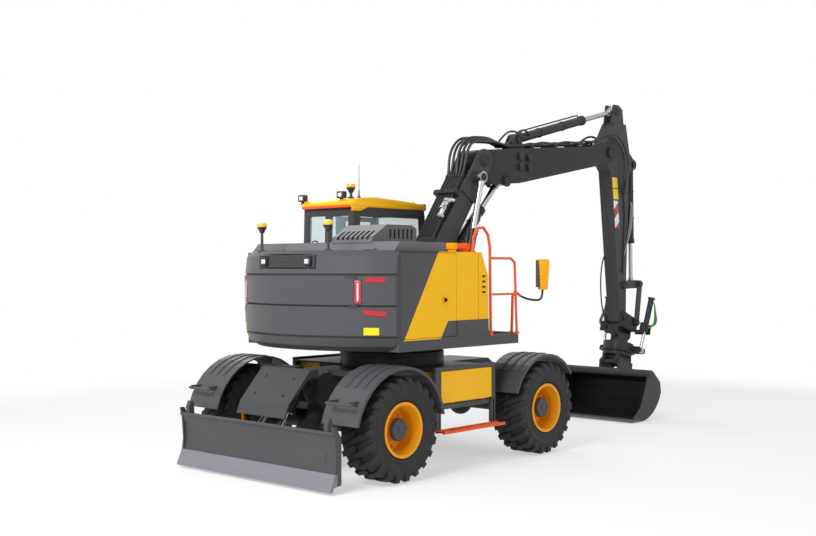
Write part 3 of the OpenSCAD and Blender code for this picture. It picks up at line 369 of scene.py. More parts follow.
paints = {
    "grey_paint": sprayed("grey_enamel", GREY),
    "boom_grey": sprayed("boom_enamel", BOOM_GREY, 0.44),
    "arm_grey": sprayed("arm_enamel", DARK_GREY, 0.44),
    "cab_grey": sprayed("cab_enamel", DARK_GREY, 0.38),
    # The hood's grey is the grey paint made lighter, as top faces look under light from above: painted light
    "hood_grey": sprayed("hood_enamel_painted_light", linear("#6a696c"), 0.46),
    "dark_iron": cast("dark_casting", BLACK),
    "black_paint": sprayed("black_enamel", shaded(BLACK, 1.25), 0.34),
    "engine_block": cast("engine_casting", linear("#6a6a6c")),
    "chrome_rod": polished("chromed_rod", (0.42, 0.42, 0.44, 1.0), 0.2),
    "yellow_paint": sprayed("yellow_enamel", YELLOW, 0.34, 0.1, 0.06),
    "roof_yellow": sprayed("roof_enamel", YELLOW, 0.36, 0.1, 0.06),
    "rim_yellow": sprayed("rim_enamel", AMBER, 0.36, 0.1, 0.08),
    "mirror_yellow": sprayed("mirror_shell", AMBER, 0.4, 0.2, 0.08),
    "orange_paint": sprayed("rail_enamel", ORANGE, 0.36, 0.25, 0.06),
    "step_paint": step_paint(),
    "tyre_rubber": rubbery("tyre_rubber", RUBBER, 0.72, 60.0),
    "hose_rubber": rubbery("hose_rubber", linear("#222223"), 0.5, 220.0),
    "green_sleeve": rubbery("sleeve_weave", GREEN, 0.55, 300.0),
    "trim_plastic": rubbery("trim_plastic", linear("#2b2b2d"), 0.55, 240.0),
    "window_glass": see_through("window_glass", linear("#bfe0e4"), 0.16),
    "seat_cloth": woven("seat_cloth", linear("#3a3a3e")),
    "lamp_black": rubbery("lamp_housing", linear("#262628"), 0.45, 260.0),
    "clear_lens": lens("clear_lens", linear("#e6e8ea"), 0.15),
    "red_lens": lens("red_lens", RED, 0.25),
    "amber_lens": lens("amber_lens", linear("#ffb000"), 0.2),
    "steel": polished("bright_steel", linear("#b9b9bd"), 0.26),
    "braid": rubbery("steel_braid", linear("#8f9092"), 0.4, 420.0),
    "side_paint": side_paint(),
    "blade_paint": blade_paint(),
    "bucket_paint": bucket_paint(),
    "stripes": striped("marker_film"),
    "red_film": rubbery("red_film", RED, 0.3, 400.0),
    "blank_plate": sprayed("blank_plate", linear("#f6d41c"), 0.3, 0.3, 0.03),
}

node_finish = {
    "right_body": "side_paint", "right_door": "side_paint", "blade": "blade_paint",
    "bucket": "bucket_paint", "steps": "step_paint", "base_boom": "arm_grey",
    "front_boom": "boom_grey", "arm": "arm_grey", "lever": "arm_grey", "link": "arm_grey",
    "chassis_frame": "arm_grey", "tilt_frame": "dark_iron", "knuckle_left": "grey_paint",
    "knuckle_right": "grey_paint",
}


def paint_nodes():
    """Gives every solid of the frame its finish."""
    slots = {row["node"]: row["material_slot"] for row in frame["record"]["subparts"]}
    for name, node in frame["nodes"].items():
        finish = paints[node_finish.get(name, slots[name])]
        node.data.materials.clear()
        node.data.materials.append(finish)


# Modelling by hand: select one piece, shape it, then fix it to its body


def alone(piece):
    """Selects one piece and nothing else."""
    bpy.ops.object.select_all(action="DESELECT")
    piece.select_set(True)
    bpy.context.view_layer.objects.active = piece


def shape(piece):
    """Enters edit mode with the whole piece selected."""
    alone(piece)
    bpy.ops.object.mode_set(mode="EDIT")
    bpy.ops.mesh.select_all(action="SELECT")


def shaped():
    """Leaves edit mode."""
    bpy.ops.object.mode_set(mode="OBJECT")


def pick_faces(piece, rule):
    """In edit mode, selects the faces whose centre and normal satisfy the rule."""
    bpy.ops.mesh.select_mode(type="FACE")
    bpy.ops.mesh.select_all(action="DESELECT")
    mesh = bmesh.from_edit_mesh(piece.data)
    for face in mesh.faces:
        face.select_set(bool(rule(face.calc_center_median(), face.normal)))
    bmesh.update_edit_mesh(piece.data)


def recess(piece, facing, rim, depth):
    """Lets the faces that look one way into the piece, inside a rim."""
    shape(piece)
    pick_faces(piece, lambda centre, normal: normal.dot(Vector(facing)) > 0.95)
    bpy.ops.mesh.inset(thickness=rim, depth=-depth)
    shaped()


def modify(piece, kind, **settings):
    """Adds a modifier and applies it."""
    alone(piece)
    modifier = piece.modifiers.new(kind.title(), kind)
    for name, value in settings.items():
        setattr(modifier, name, value)
    bpy.ops.object.modifier_apply(modifier=modifier.name)


def fix(piece, body, finish, angle=35):
    """Smooths a finished piece, paints it and lets it ride on a body."""
    alone(piece)
    bpy.ops.object.transform_apply(location=True, rotation=True, scale=True)
    bpy.ops.object.shade_smooth_by_angle(angle=math.radians(angle))
    piece.data.materials.clear()
    piece.data.materials.append(paints[finish])
    if body:
        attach(piece, body)
    return piece


def named(name):
    """Names the piece that was just made."""
    piece = bpy.context.object
    piece.name = name
    piece.data.name = name
    return piece


def block(name, low, high, edge=0.006, turn=None):
    """A block between two corners with softened edges, turned about its middle."""
    low, high = Vector(low), Vector(high)
    size = [abs(part) for part in high - low]
    bpy.ops.object.select_all(action="DESELECT")
    bpy.ops.mesh.primitive_cube_add(size=1, location=(low + high) / 2, scale=size)
    piece = named(name)
    if turn:
        piece.rotation_euler = [math.radians(angle) for angle in turn]
    bpy.ops.object.transform_apply(location=True, rotation=True, scale=True)
    if edge:
        modify(piece, "BEVEL", width=edge, segments=2, limit_method="ANGLE")
    return piece


def turned(name, centre, axis, profile, steps=32, hollow=False):
    """A form of revolution: a disc drawn out through (radius, along) pairs, or a ring closed on itself."""
    centre, axis = Vector(centre), Vector(axis).normalized()
    first, start = profile[0]
    bpy.ops.object.select_all(action="DESELECT")
    bpy.ops.mesh.primitive_circle_add(
        vertices=steps, radius=first, fill_type="NOTHING" if hollow else "NGON",
        location=centre + axis * start, rotation=axis.to_track_quat("Z", "Y").to_euler())
    piece = named(name)
    bpy.ops.object.transform_apply(location=True, rotation=True, scale=True)
    shape(piece)
    for (radius, along), (last, before) in zip(profile[1:], profile):
        middle = centre + axis * along
        bpy.ops.mesh.extrude_region_move(
            TRANSFORM_OT_translate={"value": axis * (along - before)})
        factor = radius / last
        bpy.ops.transform.resize(value=(factor, factor, factor), center_override=middle)
    bpy.ops.mesh.select_all(action="SELECT")
    if hollow:
        bpy.ops.mesh.remove_doubles(threshold=1e-5)
    bpy.ops.mesh.normals_make_consistent(inside=False)
    shaped()
    return piece


def sheet(name, points, faces):
    """A new piece of the given faces."""
    mesh = bpy.data.meshes.new(name)
    mesh.from_pydata([Vector(point) for point in points], [], faces)
    piece = bpy.data.objects.new(name, mesh)
    bpy.context.scene.collection.objects.link(piece)
    return piece


def slice_of(name, outline, depth, edge=0.0):
    """A flat outline drawn out along a vector, with softened edges."""
    piece = sheet(name, outline, [tuple(range(len(outline)))])
    shape(piece)
    bpy.ops.mesh.extrude_region_move(TRANSFORM_OT_translate={"value": Vector(depth)})
    bpy.ops.mesh.select_all(action="SELECT")
    bpy.ops.mesh.normals_make_consistent(inside=False)
    shaped()
    if edge:
        modify(piece, "BEVEL", width=edge, segments=2, limit_method="ANGLE")
    return piece


def pipe(name, points, radius, sides=2):
    """A round pipe or hose along a smooth line through its points."""
    curve = bpy.data.curves.new(name, "CURVE")
    curve.dimensions = "3D"
    curve.bevel_depth = radius
    curve.bevel_resolution = sides
    curve.resolution_u = 6
    curve.use_fill_caps = True
    line = curve.splines.new("NURBS")
    line.points.add(len(points) - 1)
    for knot, place in zip(line.points, points):
        knot.co = (*place, 1.0)
    line.order_u = min(4, len(points))
    line.use_endpoint_u = True
    piece = bpy.data.objects.new(name, curve)
    bpy.context.scene.collection.objects.link(piece)
    alone(piece)
    bpy.ops.object.convert(target="MESH")
    piece = named(name)
    shape(piece)
    bpy.ops.mesh.remove_doubles(threshold=1e-5)
    shaped()
    return piece


def copied(piece, name, move):
    """A copy with a mesh of its own, moved or mirrored by a matrix."""
    alone(piece)
    bpy.ops.object.duplicate(linked=False)
    twin = named(name)
    twin.data.transform(move)
    if move.determinant() < 0:
        twin.data.flip_normals()
    return twin


def joined(name, pieces):
    """Several pieces made one."""
    alone(pieces[0])
    for piece in pieces[1:]:
        piece.select_set(True)
    bpy.ops.object.join()
    return named(name)


def about(centre, axis, degrees):
    """A turn about an axis through a point."""
    centre = Vector(centre)
    return (Matrix.Translation(centre) @ Matrix.Rotation(math.radians(degrees), 4, Vector(axis))
            @ Matrix.Translation(-centre))


MIRROR = Matrix.Scale(-1, 4, LEFT)


def bolt(name, centre, axis, radius):
    """A hexagon bolt head on a washer, with a shallow domed top."""
    return turned(name, centre, axis, [
        (radius * 1.5, 0.0), (radius * 1.5, radius * 0.25), (radius, radius * 0.26),
        (radius, radius * 0.85), (radius * 0.7, radius * 1.0)], 6)


def bolts(name, places, axis, radius):
    """One bolt copied to every place and joined."""
    first = bolt(name, places[0], axis, radius)
    rest = [copied(first, f"{name}_{i}", Matrix.Translation(place - places[0]))
            for i, place in enumerate(places[1:], 1)]
    return joined(name, [first] + rest)


# Wheels

tyre_body = 0.544
tyre_tread = 0.572
lug_rows = 22


def tyre_lug(centre):
    """One lug at the top of a tyre: a slanted block that runs from past the middle down the shoulder."""
    section = [(-0.03, 0.534), (-0.03, 0.570), (0.0, tyre_tread), (0.17, tyre_tread), (0.212, 0.558),
               (0.2335, 0.525), (0.2345, 0.455), (0.222, 0.45), (0.205, 0.5), (0.18, 0.53)]
    slant = math.tan(math.radians(24))
    width = 0.07
    outline = [centre + Vector((-width / 2 - y * slant, y, z)) for y, z in section]
    lug = slice_of("lug", outline, (width, 0, 0), 0.008)
    # The block is wrapped round the tyre
    for vertex in lug.data.vertices:
        x, z = vertex.co.x - centre.x, vertex.co.z - centre.z
        vertex.co.z = centre.z + math.sqrt(z * z - x * x)
    return lug


def tyre(name, centre):
    """A tyre about its wheel's middle: a carcass with two ribs on each wall, and two rows of lugs."""
    wall = [(0.304, 0.196), (0.318, 0.214), (0.338, 0.224), (0.345, 0.231), (0.353, 0.231), (0.358, 0.226),
            (0.40, 0.231), (0.425, 0.232), (0.43, 0.2345), (0.44, 0.2345), (0.445, 0.231), (0.49, 0.226),
            (0.522, 0.208), (0.538, 0.17), (tyre_body, 0.1)]
    profile = wall + [(r, -a) for r, a in reversed(wall)] + wall[:1]
    carcass = turned(name, centre, LEFT, profile, 72, hollow=True)
    first = tyre_lug(centre)
    second = copied(first, "lug_across", about(centre, UP, 180))
    step = 360 / lug_rows
    lugs = []
    for i in range(lug_rows):
        lugs.append(copied(first, f"lug_{i}", about(centre, LEFT, i * step)))
        lugs.append(copied(second, f"lug_across_{i}", about(centre, LEFT, (i + 0.5) * step)))
    bpy.data.objects.remove(first)
    bpy.data.objects.remove(second)
    return joined(name, [carcass] + lugs)


def hub_cap(name, centre, side):
    """A dark hub cap with a raised rim, five bolts and a filler plug."""
    axis = Vector((0, side, 0))
    face = centre + axis * 0.148
    cap = turned(name, face, axis, [
        (0.125, -0.03), (0.122, 0.0), (0.112, 0.012), (0.085, 0.014), (0.08, 0.008), (0.03, 0.008),
        (0.026, 0.018), (0.012, 0.02)], 40)
    ring = [face + axis * 0.012 + Vector((math.cos(a), 0, math.sin(a))) * 0.098
            for a in [i * math.tau / 5 for i in range(5)]]
    return joined(name, [cap, bolts(name + "_bolts", ring, axis, 0.009)])


def fit_wheels():
    """Tyres with lugs and hub caps, one of each made and the others copied."""
    model = None
    for place in ("front_left", "front_right", "rear_left", "rear_right"):
        body = "wheel_" + place
        centre = pin(body)
        side = 1 if centre.y > 0 else -1
        if model is None:
            model = tyre("tyre_model", centre)
            home = centre
        turn = Matrix.Translation(centre) @ Matrix.Rotation(0 if side > 0 else math.pi, 4, "Z")
        rubber = copied(model, "tread_" + place, turn @ Matrix.Translation(-home))
        fix(rubber, body, "tyre_rubber", 30)
        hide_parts("tyre_" + place)
        fix(hub_cap("hub_cap_" + place, centre, side), body, "grey_paint")
    bpy.data.objects.remove(model)


# Hoses and pipes of the boom


def hose(name, points, radius, finish="hose_rubber", body=None, across=None):
    """A hose with a crimped collar at each end, riding on one body, or on none with its place baked in when it
    spans two.
    """
    tube = pipe(name, points, radius)
    collars = []
    for end, inner in ((points[0], points[1]), (points[-1], points[-2])):
        axis = (Vector(inner) - Vector(end)).normalized()
        collars.append(turned(name + "_collar", end, axis, [
            (radius * 1.1, -0.004), (radius * 1.45, 0.0), (radius * 1.45, 0.03), (radius * 1.3, 0.034),
            (radius * 1.3, 0.06), (radius * 1.05, 0.066)], 16))
    piece = fix(joined(name, [tube] + collars), body, finish)
    if across:
        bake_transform(piece)
    return piece


def fit_boom_hoses():
    """Hoses and pipes over the boom, at its knuckle, along the arm and to the tool."""
    # Over the knuckle, from the pipes on the base boom to the top of the front boom
    for i, y in enumerate((-0.12, -0.072, -0.024, 0.024, 0.072, 0.12)):
        rise = 0.03 * (i % 3)
        points = [at(1.195, y, 3.495), at(1.235, y, 3.555), at(1.29 - rise, y, 3.70),
                  at(1.33 - rise, y, 3.87), at(1.44, y, 3.99 + rise), at(1.70, y * 0.9, 4.0 + rise),
                  at(1.95, y * 0.8, 4.02 + rise), at(2.12, y * 0.75, 4.0), at(2.26, y * 0.7, 3.985)]
        hose(f"knuckle_hose_{i}", points, 0.018,
             across=("base_boom", "front_boom", at(1.3, 0, 3.66), at(1.95, 0, 4.0)))
    # From the swivel behind the boom's foot up to the pipes
    for i, y in enumerate((-0.10, -0.035, 0.035, 0.10)):
        points = [at(-0.12, y, 1.56), at(-0.12, y, 1.64), at(-0.10, y, 1.83), at(0.02, y, 2.0),
                  at(0.17, y, 2.1), at(0.27, y, 2.19), at(0.315, y, 2.255)]
        hose(f"foot_hose_{i}", points, 0.02,
             across=("house", "base_boom", at(-0.11, 0, 1.7), at(0.25, 0, 2.17)))
    # Along the top of the front boom
    for i, y in enumerate((-0.105, -0.06, 0.06, 0.105)):
        bow = 0.065 if abs(y) > 0.1 else 0.0
        points = [at(2.24, y * 0.8, 3.985), at(2.4, y, 4.0), at(2.78, y, 4.03), at(3.06, y, 4.052 + bow),
                  at(3.35, y, 4.08), at(3.65, y, 4.11 + bow), at(3.95, y, 4.14), at(4.1, y, 4.155 + bow),
                  at(4.3, y, 4.2)]
        hose(f"front_boom_pipe_{i}", points, 0.016, body="front_boom")
    # Short feeds to the arm's cylinder
    for i, y in enumerate((-0.09, 0.09)):
        points = [at(2.2, y, 3.975), at(2.28, y * 1.1, 4.06), at(2.45, y * 1.2, 4.2), at(2.62, y * 1.1, 4.25),
                  at(2.74, y * 0.8, 4.215), at(2.8, y * 0.6, 4.185)]
        hose(f"arm_cylinder_feed_{i}", points, 0.014,
             across=("front_boom", "arm_barrel", at(2.28, 0, 4.05), at(2.72, 0, 4.22)))
    # Dark cable brackets on the boom's flanks, where the flanks show dark openings: their black is painted shade
    for word, side in SIDES:
        for i, (x, z) in enumerate(((2.42, 3.66), (2.42, 3.80), (2.62, 3.66), (2.62, 3.80))):
            low = at(x, side * 0.141, z)
            tray = block(f"cable_bracket_shade_{word}_{i}", low, low + Vector((0.07, side * 0.035, 0.1)), 0.006)
            fix(tray, "front_boom", "black_paint")
    # Clamps over the pipes, on the boom's rising top
    for i, x in enumerate((2.78, 3.35, 3.95)):
        top = 3.968 + (x - 2.493) * 0.0947
        low, high = at(x - 0.03, -0.13, top - 0.002), at(x + 0.03, 0.13, top + 0.052)
        clamp = block(f"pipe_clamp_{i}", low, high, 0.008)
        fix(clamp, "front_boom", "black_paint")
    # Loops from the front boom round the arm's pin to the arm
    for i, (y, reach) in enumerate(((-0.165, 0.0), (-0.2, 0.05), (0.165, 0.02))):
        points = [at(4.27, y * 0.65, 4.19), at(4.4, y * 0.8, 4.245), at(4.62, y, 4.33 + reach),
                  at(4.9 + reach, y, 4.33 + reach), at(5.14 + reach, y, 4.12), at(5.2 + reach, y, 3.86),
                  at(5.16, y * 0.95, 3.64), at(5.2, y * 0.72, 3.48)]
        hose(f"arm_loop_{i}", points, 0.017,
             across=("front_boom", "arm", at(4.45, 0, 4.3), at(5.15, 0, 3.95)))
    # Down the front of the arm to the bucket cylinder and the tool head
    for i, y in enumerate((-0.125, 0.125)):
        points = [at(5.2, y * 0.95, 3.5), at(5.24, y, 3.3), at(5.25, y, 3.0), at(5.22, y, 2.7),
                  at(5.2, y, 2.4), at(5.18, y, 2.24)]
        hose(f"arm_pipe_{i}", points, 0.014, body="arm")
        points = [at(5.36, y * 0.4, 4.02), at(5.44, y * 0.5, 3.98), at(5.5, y * 0.6, 3.8),
                  at(5.52, y * 0.55, 3.6), at(5.5, y * 0.5, 3.4), at(5.46, y * 0.5, 3.25)]
        hose(f"bucket_feed_{i}", points, 0.013, body="arm")
    # The slack hose behind the arm's lower end
    points = [at(5.10, 0.09, 2.62), at(5.05, 0.1, 2.58), at(4.97, 0.12, 2.42), at(4.94, 0.13, 2.2),
              at(4.94, 0.13, 1.98), at(4.96, 0.13, 1.78), at(5.0, 0.13, 1.62), at(5.07, 0.13, 1.5),
              at(5.14, 0.13, 1.42)]
    hose("slack_hose", points, 0.011, across=("arm", "hitch", at(5.0, 0, 1.95), at(5.06, 0, 1.58)))
    # Steel-braided hoses from the bucket's cylinder back to the arm
    for i, y in enumerate((-0.1, -0.125)):
        points = [at(5.50 - 0.03 * i, y * 0.75, 3.34), at(5.46, y, 3.26), at(5.42, y * 1.15, 3.05),
                  at(5.36, y * 1.2, 2.84), at(5.28 - 0.02 * i, y * 1.1, 2.66), at(5.21, y, 2.52)]
        hose(f"braided_hose_{i}", points, 0.011, "braid", body="arm")


# Pins and cylinders


def pin_cap(name, centre, radius):
    """A pin's end cap on the left side, held by a bolt beside its middle."""
    cap = turned(name, centre, LEFT, [
        (radius * 1.05, -0.002), (radius * 1.05, 0.006), (radius * 0.98, 0.012), (radius * 0.55, 0.012),
        (radius * 0.5, 0.008), (radius * 0.2, 0.008)], 28)
    keeper = bolt(name + "_bolt", centre + Vector((0, 0.010, radius * 0.74)), LEFT, radius * 0.16)
    return joined(name, [cap, keeper])


def fit_pin_caps():
    """End caps on both sides of every pin of the boom and the tool."""
    # Middle of each pin, its half width, its radius and the body that it rides on
    places = {
        "knuckle": (pin("boom_adjust"), 0.209, 0.068, "base_boom"),
        "arm_root": (pin("arm_swing"), 0.164, 0.066, "front_boom"),
        "boom_foot": (pin("boom_lift"), 0.240, 0.056, "base_boom"),
        "lift_base": (pin("lift_barrel_turn"), 0.336, 0.05, "house"),
        "lift_eye": (at(1.45, 0, 3.5), 0.298, 0.05, "lift_rod"),
        "adjust_base": (pin("adjust_barrel_turn"), 0.116, 0.05, "base_boom"),
        "adjust_eye": (at(2.14, 0, 3.5), 0.162, 0.062, "front_boom"),
        "arm_cylinder": (pin("arm_barrel_turn"), 0.082, 0.05, "front_boom"),
        "arm_eye": (at(5.06, 0, 4.75), 0.096, 0.05, "arm"),
        "bucket_cylinder": (pin("bucket_barrel_turn"), 0.088, 0.05, "arm"),
        "lever_root": (pin("lever_turn"), 0.152, 0.05, "arm"),
        "lever_end": (pin("link_turn"), 0.184, 0.046, "lever"),
        "link_end": (at(5.52, 0, 1.44), 0.190, 0.044, "link"),
        "arm_tip": (pin("bucket_curl"), 0.156, 0.05, "hitch"),
    }
    for name, (centre, half, radius, body) in places.items():
        left = pin_cap(f"pin_{name}_left", Vector((centre.x, half, centre.z)), radius)
        right = copied(left, f"pin_{name}_right", MIRROR)
        for cap in (left, right):
            fix(cap, body, "dark_iron")


def feed_pipe(name, start, along, length, radius, lift, body):
    """A hard pipe along a cylinder's barrel, with two straps and a hexagon gland nut."""
    out = Vector(lift).normalized()
    near, far = radius + 0.006, radius + 0.03
    points = [start + along * 0.17 + out * near, start + along * 0.175 + out * far,
              start + along * 0.24 + out * far, start + along * (length * 0.5) + out * far,
              start + along * (length - 0.17) + out * far, start + along * (length - 0.1) + out * far,
              start + along * (length - 0.095) + out * near]
    run = pipe(name, points, 0.011)
    inner, outer = radius - 0.004, radius + 0.007
    band = [(inner, -0.014), (outer, -0.012), (outer, 0.012), (inner, 0.014), (inner, -0.014)]
    straps = [turned(f"{name}_strap", start + along * (length * part), along, band, 32, hollow=True)
              for part in (0.34, 0.68)]
    head = [(radius + 0.002, -0.02), (radius + 0.013, -0.018), (radius + 0.013, -0.002),
            (radius + 0.009, 0.002), (radius + 0.002, 0.002), (radius + 0.002, -0.02)]
    nut = turned(f"{name}_nut", start + along * (length - 0.002), along, head, 12, hollow=True)
    return fix(joined(name, [run] + straps + [nut]), body, "black_paint")


def fit_cylinder_pipes():
    """Feed pipes along the barrels of the cylinders."""
    # Length and radius of each barrel, its distance off the middle, and the side that the pipe lies on
    rams = {
        "lift": (1.230, 0.062, 0.265, (-0.97, 0, 0.25)), "adjust": (0.900, 0.068, 0.0, (0.7, 0, -0.7)),
        "arm": (1.750, 0.064, 0.0, (-0.25, 0, 0.97)), "bucket": (1.250, 0.058, 0.0, (1, 0, 0)),
    }
    for name, (length, radius, y, lift) in rams.items():
        start = pin(name + "_barrel_turn") + Vector((0, y, 0))
        along = Vector(joints[name + "_rod_slide"]["axis"])
        run = feed_pipe(f"{name}_feed_pipe", start, along, length, radius, lift, name + "_barrel")
        if y:
            twin = copied(run, f"{name}_feed_pipe_right", MIRROR)
            fix(twin, name + "_barrel", "black_paint")


# Tail


def tail_point(degrees, radius, z):
    """A place on the tail's curve, turned from straight behind towards the left."""
    angle = math.radians(degrees)
    return at(-radius * math.cos(angle), radius * math.sin(angle), z)


def tail_film(name, radius, angles, lows, highs, finish):
    """A thin film on the tail's curve, between a lower and an upper edge given at its two ends."""
    steps = 8

    def edge(ends):
        """Places along one edge, from its height at one end to that at the other."""
        shares = [i / steps for i in range(steps + 1)]
        return [tail_point(angles[0] + (angles[1] - angles[0]) * share, radius,
                           ends[0] + (ends[1] - ends[0]) * share) for share in shares]

    faces = [(i, i + 1, steps + 2 + i, steps + 1 + i) for i in range(steps)]
    film = sheet(name, edge(lows) + edge(highs), faces)
    shape(film)
    bpy.ops.mesh.normals_make_consistent(inside=False)
    shaped()
    modify(film, "SOLIDIFY", thickness=0.003, offset=0.0)
    return fix(film, "house", finish)


def tail_lamp(name, side):
    """A corner lamp: black bezel, red lens and a clear strip in it."""
    corner, height = side * 31, 2.045
    turn = (0, 0, 180 - corner)
    middle = tail_point(corner, 1.752, height)
    sizes = {"bezel": (0.09, 0.105, 0.285), "red": (0.104, 0.078, 0.25), "strip": (0.11, 0.022, 0.2)}
    made = {}
    for part, size in sizes.items():
        half = Vector(size) / 2
        edge = 0.016 if part == "bezel" else 0.009
        made[part] = block(f"{name}_{part}", middle - half, middle + half, edge, turn)
    recess(made["bezel"], (middle - at(0, 0, height)).normalized(), 0.008, 0.006)
    fix(made["red"], "house", "red_lens")
    fix(made["strip"], "house", "clear_lens")
    return fix(made["bezel"], "house", "lamp_black")


def receiver_post(name, x, y, foot, head):
    """A receiver on a post: flange, stem, dark cone and an amber dome."""
    base = at(x, y, foot)
    tall = head - foot
    stem = turned(name, base, UP, [
        (0.05, 0.0), (0.05, 0.01), (0.024, 0.014), (0.018, 0.03), (0.015, tall - 0.13), (0.03, tall - 0.12),
        (0.034, tall - 0.10), (0.052, tall - 0.075), (0.056, tall - 0.06), (0.054, tall - 0.055)], 28)
    dome = turned(name + "_dome", base, UP, [
        (0.054, tall - 0.057), (0.057, tall - 0.05), (0.057, tall - 0.028), (0.048, tall - 0.01),
        (0.03, tall - 0.002), (0.008, tall)], 28)
    fix(dome, "house", "amber_lens")
    return fix(stem, "house", "lamp_black")


def work_lamp(name, middle, facing):
    """A square work lamp on a bracket, its ribbed lens let into a bezel."""
    half = Vector((0.04, 0.055, 0.045))
    housing = block(name, middle - half, middle + half, 0.012)
    shape(housing)
    front = Vector((facing, 0, 0))
    pick_faces(housing, lambda centre, normal: normal.dot(front) > 0.95)
    bpy.ops.mesh.inset(thickness=0.008, depth=0)
    bpy.ops.mesh.extrude_region_move(TRANSFORM_OT_translate={"value": -front * 0.014})
    pick_faces(housing, lambda centre, normal: normal.dot(front) < -0.95)
    for factor in (0.7, 0.7):
        bpy.ops.mesh.extrude_region_move(TRANSFORM_OT_translate={"value": -front * 0.012})
        bpy.ops.transform.resize(value=(1, factor, factor), center_override=middle - front * 0.06)
    shaped()
    bracket = block(name + "_bracket", middle + Vector((-0.015, -0.02, -0.09)),
                    middle + Vector((0.015, 0.02, -0.03)), 0.005)
    glass = block(name + "_lens", middle + Vector((facing * 0.022, -0.046, -0.036)),
                  middle + Vector((facing * 0.034, 0.046, 0.036)), 0.004)
    fix(glass, "house", "clear_lens")
    return fix(joined(name, [housing, bracket]), "house", "lamp_black")


def dress_tail():
    """Lamps, films, blank plates and receiver posts on the counterweight."""
    panel = block("lamp_panel", at(-1.738, -0.45, 2.306), at(-1.69, 0.47, 2.454), 0.01)
    recess(panel, (-1, 0, 0), 0.02, 0.012)
    slats = [block(f"panel_slat_{i}", at(-1.734, -0.24, 2.335 + 0.03 * i),
                   at(-1.718, 0.27, 2.347 + 0.03 * i), 0.004) for i in range(4)]
    fix(joined("lamp_panel", [panel] + slats), "house", "cab_grey")
    for word, y in (("left", 0.37), ("right", -0.35)):
        work_lamp(f"tail_work_lamp_{word}", at(-1.725, y, 2.38), -1)
    bezel = tail_lamp("tail_lamp_left", 1)
    tail_lamp("tail_lamp_right", -1)
    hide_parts("lamps")
    # Films on the corners: name, radius, angles off the tail's middle, heights at both ends, finish
    films = (("upper_reflector", 1.801, 33.5, 40.5, (2.15, 2.15), (2.205, 2.205), "red_film"),
             ("lower_reflector", 1.7965, 33, 41, (1.80, 1.78), (1.855, 1.835), "red_film"),
             ("blank_plate", 1.7895, 33, 38.4, (1.58, 1.58), (1.66, 1.66), "blank_plate"),
             # The two flare films are black sheets above and below each tail lamp: painted shade of the recesses
             # there
             ("upper_flare_shade", 1.801, 26, 31, (2.205, 2.18), (2.207, 2.235), "lamp_black"),
             ("lower_flare_shade", 1.7975, 26, 31, (1.885, 1.865), (1.887, 1.91), "lamp_black"))
    for word, side in SIDES:
        for film, radius, start, end, lows, highs, finish in films:
            tail_film(f"{film}_{word}", radius, (side * start, side * end), lows, highs, finish)
    for word, y in (("left", 0.624), ("right", -0.485)):
        receiver_post("receiver_" + word, -1.56, y, 2.5, 2.84)


# Cab


def window_seal(name, corners):
    """A rubber seal round a window: the outline with its middle taken out, thickened and softened."""
    seal = sheet(name, corners, [tuple(range(len(corners)))])
    shape(seal)
    bpy.ops.mesh.inset(thickness=0.03, depth=0)
    bpy.ops.mesh.delete(type="FACE")
    shaped()
    modify(seal, "SOLIDIFY", thickness=0.016, offset=0.0)
    modify(seal, "BEVEL", width=0.003, segments=2, limit_method="ANGLE")
    return fix(seal, "house", "trim_plastic")


def pad(name, low, high, channel, crown):
    """A stuffed pad: a block whose faces swell between its edges, with sewn channels across it."""
    low, high = Vector(low), Vector(high)
    size = high - low
    middle = (low + high) / 2
    piece = block(name, low, high, 0)
    shape(piece)
    bpy.ops.mesh.subdivide(number_cuts=11)
    mesh = bmesh.from_edit_mesh(piece.data)
    for vertex in mesh.verts:
        share = [(vertex.co[i] - middle[i]) / (size[i] / 2) for i in range(3)]
        for i in range(3):
            others = [share[j] for j in range(3) if j != i]
            swell = (1 - others[0] ** 4) * (1 - others[1] ** 4)
            vertex.co[i] -= math.copysign((1 - swell) * crown, share[i]) * abs(share[i])
        groove = math.exp(-((abs(share[1]) - channel) / 0.05) ** 2)
        vertex.co -= (vertex.co - middle) * 0.06 * groove
    bmesh.update_edit_mesh(piece.data)
    shaped()
    modify(piece, "SUBSURF", levels=1, render_levels=1)
    return piece


